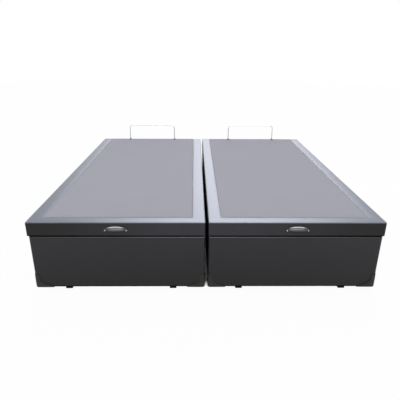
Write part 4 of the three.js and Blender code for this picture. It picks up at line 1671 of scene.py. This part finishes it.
for name, corner, ways, node in guard_corners():
    shell = guard_shell()
    put_at_corner(shell, corner, ways)
    for piece in both_halves(name, shell, guard_plastic, "base", [node] if node else ()):
        thicken(piece, GUARD_WALL)
        soften(piece, 0.8 * MM)
    plate = guard_plate()
    put_at_corner(plate, corner, ways)
    for piece in both_halves(f"{name}_plate", plate, guard_plastic, "base"):
        soften(piece, 0.6 * MM)
    nails = guard_nails()
    put_at_corner(nails, corner, ways)
    both_halves(f"{name}_nails", nails, black_paint, "base")

# %% [markdown]
# ## Feet
#
# Eight moulded feet: a square plate that is pressed against the bearer, a square block under it
# that tapers to the floor, and a thin glide. Three boxes are enough, with their upright corners
# rounded; the block's upper end is scaled up for the taper.

# %% The feet
FOOT_PLATE = 25 * MM  # half the width of the plate
FOOT_NECK = 21.5 * MM  # and of the block, at its top and at its bottom
FOOT_BOTTOM = 19.5 * MM
FOOT_PLATE_HEIGHT = 6 * MM
FOOT_CORNER = 4 * MM
GLIDE_HEIGHT = 1.2 * MM


def block_foot(top):
    """A foot that stands at the origin."""
    shoulder = top - FOOT_PLATE_HEIGHT
    glide = FOOT_BOTTOM - 2 * MM
    bm = bmesh.new()
    block = add_box(
        bm, (-FOOT_BOTTOM, -FOOT_BOTTOM, GLIDE_HEIGHT), (FOOT_BOTTOM, FOOT_BOTTOM, shoulder))
    taper = FOOT_NECK / FOOT_BOTTOM
    bmesh.ops.scale(bm, vec=(taper, taper, 1), verts=[v for v in block if v.co.z > shoulder / 2])
    add_box(bm, (-FOOT_PLATE, -FOOT_PLATE, shoulder), (FOOT_PLATE, FOOT_PLATE, top))
    add_box(bm, (-glide, -glide, 0), (glide, glide, GLIDE_HEIGHT))
    upright = [e for e in bm.edges if abs(e.verts[0].co.z - e.verts[1].co.z) > MM]
    round_edges(bm, upright, FOOT_CORNER, 5)
    return bm


for place in ("front_inner", "front_outer", "rear_inner", "rear_outer"):
    foot_lo, foot_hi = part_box(f"right_foot_{place}")
    bm = block_foot(foot_hi.z)
    axis = Vector(((foot_lo.x + foot_hi.x) / 2, (foot_lo.y + foot_hi.y) / 2, 0))
    bmesh.ops.translate(bm, vec=axis, verts=bm.verts)
    for piece in both_halves(f"block_foot_{place}", bm, foot_plastic, "base", [f"foot_{place}"]):
        soften(piece, 0.8 * MM)

# %% [markdown]
# ## The long hinge
#
# A continuous hinge joins the lid to the chest at the head end. Each leaf is a plate with every
# other knuckle rolled on it. The knuckles turn on one pin.

# %% The hinge's leaves, knuckles, pin and screws
KNUCKLES = 9
KNUCKLE_RADIUS = 5 * MM
PIN_RADIUS = 2.2 * MM
LEAF_THICKNESS = 1.5 * MM
LEAF_CORNER = 5 * MM
RUNNING = 0.6 * MM  # the gap between two knuckles
SCREWS_PER_LEAF = 10
SCREW_INSET = 10 * MM  # from a leaf's free edge
pin_lo, pin_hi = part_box("right_hinge_pin")
hinge_y = (pin_lo.y + pin_hi.y) / 2
hinge_z = (pin_lo.z + pin_hi.z) / 2


def along_x(start):
    return pointing(start, (1, 0, 0))


def hinge_leaf(node, first):
    """A leaf with every other knuckle, starting with the first or the second."""
    lo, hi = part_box(node)
    up = 1 if first else -1
    edge_z = hi.z if first else lo.z
    plate_y = cover_hi.y + SEAT
    bm = bmesh.new()
    near = hinge_z + up * (KNUCKLE_RADIUS + RUNNING)
    add_box(bm, (pin_lo.x, plate_y, min(near, edge_z)),
            (pin_hi.x, plate_y + LEAF_THICKNESS, max(near, edge_z)))
    corners = [
        e for e in bm.edges if runs_along(e, 1) and abs(e.verts[0].co.z - edge_z) < 0.1 * MM
    ]
    round_edges(bm, corners, LEAF_CORNER, 5)
    pitch = (pin_hi.x - pin_lo.x) / KNUCKLES
    bore = PIN_RADIUS + 0.2 * MM
    for i in range(first, KNUCKLES, 2):
        start = pin_lo.x + pitch * i + RUNNING / 2
        length = pitch - RUNNING
        add_box(bm, (start, plate_y, min(near + up * MM, hinge_z)),
                (start + length, plate_y + LEAF_THICKNESS, max(near + up * MM, hinge_z)))
        barrel = [(bore, 0), (KNUCKLE_RADIUS, 0), (KNUCKLE_RADIUS, length), (bore, length)]
        turned(bm, barrel, along_x((start, hinge_y, hinge_z)), 24, closed=True)
    return bm


def leaf_screws(node, first):
    lo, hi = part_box(node)
    z = hi.z - SCREW_INSET if first else lo.z + SCREW_INSET
    y = cover_hi.y + SEAT + LEAF_THICKNESS
    bm = bmesh.new()
    for i in range(SCREWS_PER_LEAF):
        x = pin_lo.x + (pin_hi.x - pin_lo.x) * (i + 0.5) / SCREWS_PER_LEAF
        add_screw(bm, (x, y, z), (0, 1, 0), 3.4 * MM)
    return bm


def hinge_pin():
    length = pin_hi.x - pin_lo.x
    head = PIN_RADIUS + 0.8 * MM
    profile = [(0, -MM), (head, -0.6 * MM), (head, 0.3 * MM), (PIN_RADIUS, 0.3 * MM),
               (PIN_RADIUS, length - 0.3 * MM), (head, length - 0.3 * MM),
               (head, length + 0.6 * MM), (0, length + MM)]
    bm = bmesh.new()
    turned(bm, profile, along_x((pin_lo.x, hinge_y, hinge_z)), 20)
    return bm


for name, node, first, body in (
    ("hinge_lower_leaf", "hinge_base_leaf", 0, "base"),
    ("hinge_upper_leaf", "hinge_lid_leaf", 1, "{side}_lid"),
):
    leaf = hinge_leaf(f"right_{node}", first)
    for piece in both_halves(name, leaf, zinc_plate, body, [node]):
        soften(piece, 0.3 * MM)
    both_halves(f"{name}_screws", leaf_screws(f"right_{node}", first), zinc_plate, body)
both_halves("hinge_turned_pin", hinge_pin(), zinc_plate, "base", ["hinge_pin"])

# %% [markdown]
# ## Gas struts
#
# Each lid has two. The cylinder hangs from a ball on the lid's rail, and the rod stands on a
# ball on the chest's wall. Both are turned pieces, drawn upright from their own ball and then
# laid along the line between the two balls. A ball cup with a spring clip closes each end.

# %% Where the struts' balls are
BALL = 4.5 * MM
BRACKET_PLATE = 3 * MM
BRACKET_CORNER = 6 * MM
BRACKET_SCREW_INSET = 8 * MM


def ball_of(node, place):
    """The centre of a bracket's ball, and which way it stands off its plate."""
    lo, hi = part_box(node)
    out = 1 if place == "inner" else -1
    x = hi.x - BALL if out > 0 else lo.x + BALL
    return Vector((x, (lo.y + hi.y) / 2, (lo.z + hi.z) / 2)), out


# %% The ball brackets
def bracket(node, place):
    lo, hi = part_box(node)
    ball, out = ball_of(node, place)
    back = lo.x if out > 0 else hi.x
    front = back + out * BRACKET_PLATE
    bm = bmesh.new()
    add_box(bm, (min(back, front), lo.y, lo.z), (max(back, front), hi.y, hi.z))
    round_edges(bm, [e for e in bm.edges if runs_along(e, 0)], BRACKET_CORNER, 6)
    reach = abs(ball.x - front)
    stud = [(0, -0.5 * MM), (5.5 * MM, -0.5 * MM), (5.5 * MM, 2 * MM), (3 * MM, 3 * MM),
            (3 * MM, reach - BALL * 1.3), (2.4 * MM, reach - BALL), (2.4 * MM, reach), (0, reach)]
    turned(bm, stud, pointing((front, ball.y, ball.z), (out, 0, 0)), 24)
    bmesh.ops.create_uvsphere(
        bm, u_segments=28, v_segments=18, radius=BALL, matrix=pointing(ball, (out, 0, 0)))
    return bm


def bracket_screws(node, place):
    lo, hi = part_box(node)
    _, out = ball_of(node, place)
    front = (lo.x if out > 0 else hi.x) + out * BRACKET_PLATE
    bm = bmesh.new()
    inset = BRACKET_SCREW_INSET
    for y in (lo.y + inset, hi.y - inset):
        for z in (lo.z + inset, hi.z - inset):
            add_screw(bm, (front, y, z), (out, 0, 0), 3.2 * MM)
    return bm


for place in ("inner", "outer"):
    for part, body in (("base", "base"), ("lid", "{side}_lid")):
        node = f"strut_{part}_bracket_{place}"
        made = bracket(f"right_{node}", place)
        for piece in both_halves(f"{part}_ball_plate_{place}", made, zinc_plate, body, [node]):
            soften(piece, 0.3 * MM)
        screws = bracket_screws(f"right_{node}", place)
        both_halves(f"{part}_ball_plate_screws_{place}", screws, zinc_plate, body)

# %% The cylinder and the rod
TUBE_RADIUS = 9 * MM
TUBE_WALL = 1.4 * MM
TUBE_END = 6 * MM  # thickness of the cylinder's closed end
ROD_RADIUS = 4 * MM
ROD_SHOWN = 33 * MM
NECK = 4 * MM
SOCKET_WALL = 2 * MM
SOCKET_HALF = 7 * MM
TUBE_SOCKET = 8.3 * MM  # inner radius of the cylinder's cup, which has play round the lid's ball
ROD_SOCKET = 5.1 * MM
GUIDE = 14 * MM
PISTON = 12 * MM


def add_cup(bm, inner, out):
    """A ball cup whose mouth opens towards the bracket, with a wire clip round it."""
    outer = inner + SOCKET_WALL
    back = SOCKET_HALF
    profile = [(0, back), (outer - MM, back), (outer, back - MM), (outer, -back + MM),
               (outer - 0.6 * MM, -back), (inner + 0.4 * MM, -back), (inner, -back + 0.6 * MM),
               (inner, back - SOCKET_WALL), (0, back - SOCKET_WALL)]
    turned(bm, profile, pointing((0, 0, 0), (out, 0, 0)), 32)
    wire = 0.6 * MM
    ring = [(outer + wire * math.cos(a), -2 * MM + wire * math.sin(a))
            for a in (i * math.tau / 8 for i in range(8))]
    turned(bm, ring, pointing((0, 0, 0), (out, 0, 0)), 32, closed=True)


def strut_cylinder(length, out):
    """Upright from the lid's ball at the origin, with its mouth at the far end."""
    start = TUBE_SOCKET + SOCKET_WALL + NECK
    tube = length - start - ROD_SOCKET - SOCKET_WALL - NECK - ROD_SHOWN
    end = start + tube
    bore = TUBE_RADIUS - TUBE_WALL
    guide = ROD_RADIUS + 0.3 * MM
    profile = [
        (0, TUBE_SOCKET + MM), (6 * MM, TUBE_SOCKET + MM), (6 * MM, start),
        (TUBE_RADIUS - 2 * MM, start), (TUBE_RADIUS - 0.6 * MM, start + 0.6 * MM),
        (TUBE_RADIUS, start + 2 * MM), (TUBE_RADIUS, end - 16 * MM),
        (TUBE_RADIUS - 0.7 * MM, end - 15 * MM), (TUBE_RADIUS - 0.7 * MM, end - 13.6 * MM),
        (TUBE_RADIUS, end - 12.6 * MM), (TUBE_RADIUS, end - 2 * MM),
        (TUBE_RADIUS - 0.6 * MM, end - 0.6 * MM), (TUBE_RADIUS - 2 * MM, end),
        (guide + 1.2 * MM, end), (guide, end - MM), (guide, end - GUIDE), (bore, end - GUIDE),
        (bore, start + TUBE_END), (0, start + TUBE_END),
    ]
    bm = bmesh.new()
    turned(bm, profile, segments=40)
    add_cup(bm, TUBE_SOCKET, out)
    return bm


def strut_rod(length, out):
    """Upright from the chest's ball at the origin, with its piston inside the cylinder."""
    neck_end = ROD_SOCKET + SOCKET_WALL + NECK
    top = length - TUBE_SOCKET - SOCKET_WALL - NECK - TUBE_END - 2 * SEAT
    piston = TUBE_RADIUS - TUBE_WALL - SEAT
    profile = [
        (0, ROD_SOCKET + MM), (5.5 * MM, ROD_SOCKET + MM), (5.5 * MM, neck_end - MM),
        (4.6 * MM, neck_end), (ROD_RADIUS, neck_end), (ROD_RADIUS, top - PISTON),
        (piston, top - PISTON), (piston, top), (0, top),
    ]
    bm = bmesh.new()
    turned(bm, profile, segments=32)
    add_cup(bm, ROD_SOCKET, out)
    return bm


for place in ("inner", "outer"):
    low_ball, out = ball_of(f"right_strut_base_bracket_{place}", place)
    high_ball, _ = ball_of(f"right_strut_lid_bracket_{place}", place)
    length = (high_ball - low_ball).length
    for kind, make, origin, goal, finish in (
        ("cylinder", strut_cylinder, high_ball, low_ball, black_paint),
        ("rod", strut_rod, low_ball, high_ball, rod_steel),
    ):
        bm = make(length, out)
        upright = (goal - origin).normalized()
        across = Vector((1, 0, 0))
        turn = Matrix((across, upright.cross(across), upright)).transposed().to_4x4()
        bmesh.ops.transform(bm, matrix=Matrix.Translation(origin) @ turn, verts=bm.verts)
        body = "{side}_" + f"{place}_{kind}"
        node = f"strut_{kind}_{place}"
        for piece in both_halves(f"gas_{kind}_{place}", bm, finish, body, [node]):
            soften(piece, 0.25 * MM)

# %% [markdown]
# ## Finishes for the boards
#
# The CAD nodes of the boards and the frame already have the right shapes. They stay, and only
# their material slots change.

# %% Finishes for the CAD nodes that stay
BOARD_FINISHES = {
    "base_side_inner": chipboard,
    "base_side_outer": chipboard,
    "base_head_board": chipboard,
    "base_foot_board": chipboard,
    "floor_panel": floor_fibreboard,
    "lid_frame": frame_pine,
    "lid_board": lid_fibreboard,
}
for side in SIDES:
    for name, finish in BOARD_FINISHES.items():
        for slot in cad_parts[f"{side}_{name}"].material_slots:
            slot.material = finish
print("CAD nodes with a wood finish:", len(SIDES) * len(BOARD_FINISHES))

# %% [markdown]
# ## The camera
#
# The camera was worked out from corners of the bed in the picture: a 35 mm lens on a 36 mm wide
# square picture, about 1.3 m above the floor, looking down on the bed from its foot end.

# %% The camera
CAMERA_PLACE = Vector((-0.0669, -2.91575, 1.3297))
CAMERA_YAW = 0.0148
CAMERA_PITCH = 0.3751
CAMERA_ROLL = 0.0071
LENS = 35.31

ahead = Vector((
    math.sin(CAMERA_YAW) * math.cos(CAMERA_PITCH),
    math.cos(CAMERA_YAW) * math.cos(CAMERA_PITCH),
    -math.sin(CAMERA_PITCH),
))
level_right = Vector((math.cos(CAMERA_YAW), -math.sin(CAMERA_YAW), 0))
level_up = level_right.cross(ahead)
right = level_right * math.cos(CAMERA_ROLL) + level_up * math.sin(CAMERA_ROLL)
up = level_up * math.cos(CAMERA_ROLL) - level_right * math.sin(CAMERA_ROLL)
eye = bpy.data.cameras.new("camera")
eye.lens = LENS
eye.sensor_width = 36
eye.sensor_fit = "AUTO"
camera = bpy.data.objects.new("camera", eye)
bpy.context.scene.collection.objects.link(camera)
camera.matrix_world = (
    Matrix.Translation(CAMERA_PLACE) @ Matrix((right, up, -ahead)).transposed().to_4x4()
)
bpy.context.scene.camera = camera
bpy.context.scene.view_settings.view_transform = "Standard"

# %% [markdown]
# ## Floor and light
#
# A pale floor and an even white surround, as in a studio. The world gives a plain soft light, and
# Light Path makes it pure white where the camera or a reflection sees it. One part of the world,
# high behind the bed, glows like a curtained window: it fades out smoothly, so the glare that the
# satin border sends to the camera fades out smoothly too. A lamp with hard edges would leave more
# noise there. The floor is partly self-lit, so it meets the white surround but still holds the
# bed's shadow, and one large soft box hangs above.

# %% The world
WORLD_LEVEL = 0.55
WINDOW_AZIMUTH = 4.5  # degrees from straight behind the bed, towards +X
WINDOW_ELEVATION = 32.5
WINDOW_CORE = 7  # degrees from its middle at which it starts to fade
WINDOW_REACH = 24  # degrees from its middle at which it has faded out
WINDOW_LEVEL = 5.5
WINDOW_TINT = (0.95, 0.97, 1.08, 1)


def seen_directly(tree):
    """1 where a camera, mirror or glass ray arrives, and 0 for light on a surface."""
    path = tree.add("ShaderNodeLightPath").outputs
    seen = tree.math("MAXIMUM", path["Is Camera Ray"], path["Is Glossy Ray"])
    return tree.math("MAXIMUM", seen, path["Is Transmission Ray"])


def window_glow(tree):
    """A round glow in the sky that only surfaces and reflections see."""
    azimuth, elevation = math.radians(WINDOW_AZIMUTH), math.radians(WINDOW_ELEVATION)
    middle = (
        math.sin(azimuth) * math.cos(elevation),
        math.cos(azimuth) * math.cos(elevation),
        math.sin(elevation),
    )
    way = tree.add("ShaderNodeTexCoord").outputs["Generated"]
    dot = tree.add("ShaderNodeVectorMath", {0: way, 1: middle}, operation="DOT_PRODUCT")
    off = tree.math("ARCCOSINE", dot.outputs["Value"])
    core, reach = math.radians(WINDOW_CORE), math.radians(WINDOW_REACH)
    glow = tree.fit(off, core, reach, WINDOW_LEVEL, 0.0, smooth=True)
    camera_ray = tree.add("ShaderNodeLightPath").outputs["Is Camera Ray"]
    return tree.math("MULTIPLY", glow, tree.math("SUBTRACT", 1.0, camera_ray))


world = bpy.data.worlds.new("studio")
bpy.context.scene.world = world
world.use_nodes = True
sky = Tree(world.node_tree)
surround = world.node_tree.nodes["Background"]
surround.inputs["Color"].default_value = (1, 1, 1, 1)
sky.feed(surround.inputs["Strength"], sky.fit(seen_directly(sky), 0, 1, WORLD_LEVEL, 1.0))
window = sky.add("ShaderNodeBackground", {"Color": WINDOW_TINT, "Strength": window_glow(sky)})
together = sky.add("ShaderNodeAddShader")
sky.feed(together.inputs[0], surround.outputs[0])
sky.feed(together.inputs[1], window.outputs[0])
sky.feed(world.node_tree.nodes["World Output"].inputs["Surface"], together.outputs[0])

# %% The floor
FLOOR_GLOW = 0.97  # the self-lit share of the floor; the rest is lit and holds the shadow
UNDER_BED = 0.08  # how far inside the bed's outline the floor's glow has faded out


def make_floor_finish():
    finish = Finish("studio_floor", "floor", grey(0.86), 0.9)
    speck = finish.noise(finish.place, 40.0, 3.0)
    finish.set(Base_Color=finish.mix(speck, grey(0.84), grey(0.88)))
    x, y, _ = finish.parts(finish.place)
    depths = [
        finish.math("SUBTRACT", cad_box[1].x, finish.math("ABSOLUTE", x)),
        finish.math("SUBTRACT", cad_box[1].y, finish.math("ABSOLUTE", y)),
    ]
    open_air = finish.fit(
        finish.math("MINIMUM", *depths), UNDER_BED, UNDER_BED * 2, FLOOR_GLOW, 0.0, smooth=True)
    glow = finish.add("ShaderNodeEmission")
    both = finish.add("ShaderNodeMixShader")
    finish.feed(both.inputs[0], finish.math("MULTIPLY", seen_directly(finish), open_air))
    finish.feed(both.inputs[1], finish.shader.outputs[0])
    finish.feed(both.inputs[2], glow.outputs[0])
    surface = finish.graph.nodes["Material Output"].inputs["Surface"]
    finish.feed(surface, both.outputs[0])
    return finish.material


bm = bmesh.new()
bmesh.ops.create_circle(bm, cap_ends=True, segments=96, radius=14.0)
floor_mesh = bpy.data.meshes.new("floor")
bm.to_mesh(floor_mesh)
bm.free()
floor_mesh.materials.append(make_floor_finish())
floor = bpy.data.objects.new("floor", floor_mesh)
bpy.context.scene.collection.objects.link(floor)

# %% The soft box above
def soft_box(name, place, target, width, height, level):
    """A rectangular lamp whose face is as bright as a white surface times level."""
    lamp = bpy.data.lights.new(name, "AREA")
    lamp.shape = "RECTANGLE"
    lamp.size = width
    lamp.size_y = height
    lamp.energy = level * math.pi * width * height
    box = bpy.data.objects.new(name, lamp)
    bpy.context.scene.collection.objects.link(box)
    turn = (Vector(target) - Vector(place)).to_track_quat("-Z", "Y").to_matrix().to_4x4()
    box.matrix_world = Matrix.Translation(place) @ turn
    box.visible_camera = False


soft_box("top_box", (0.0, -0.3, 3.4), (0, 0, 0.4), width=4.0, height=4.0, level=0.74)

# %% Sizes, and the end
print("CAD size:", [round(side, 4) for side in cad_box[1] - cad_box[0]])
print("pieces made:", len(pieces_made))
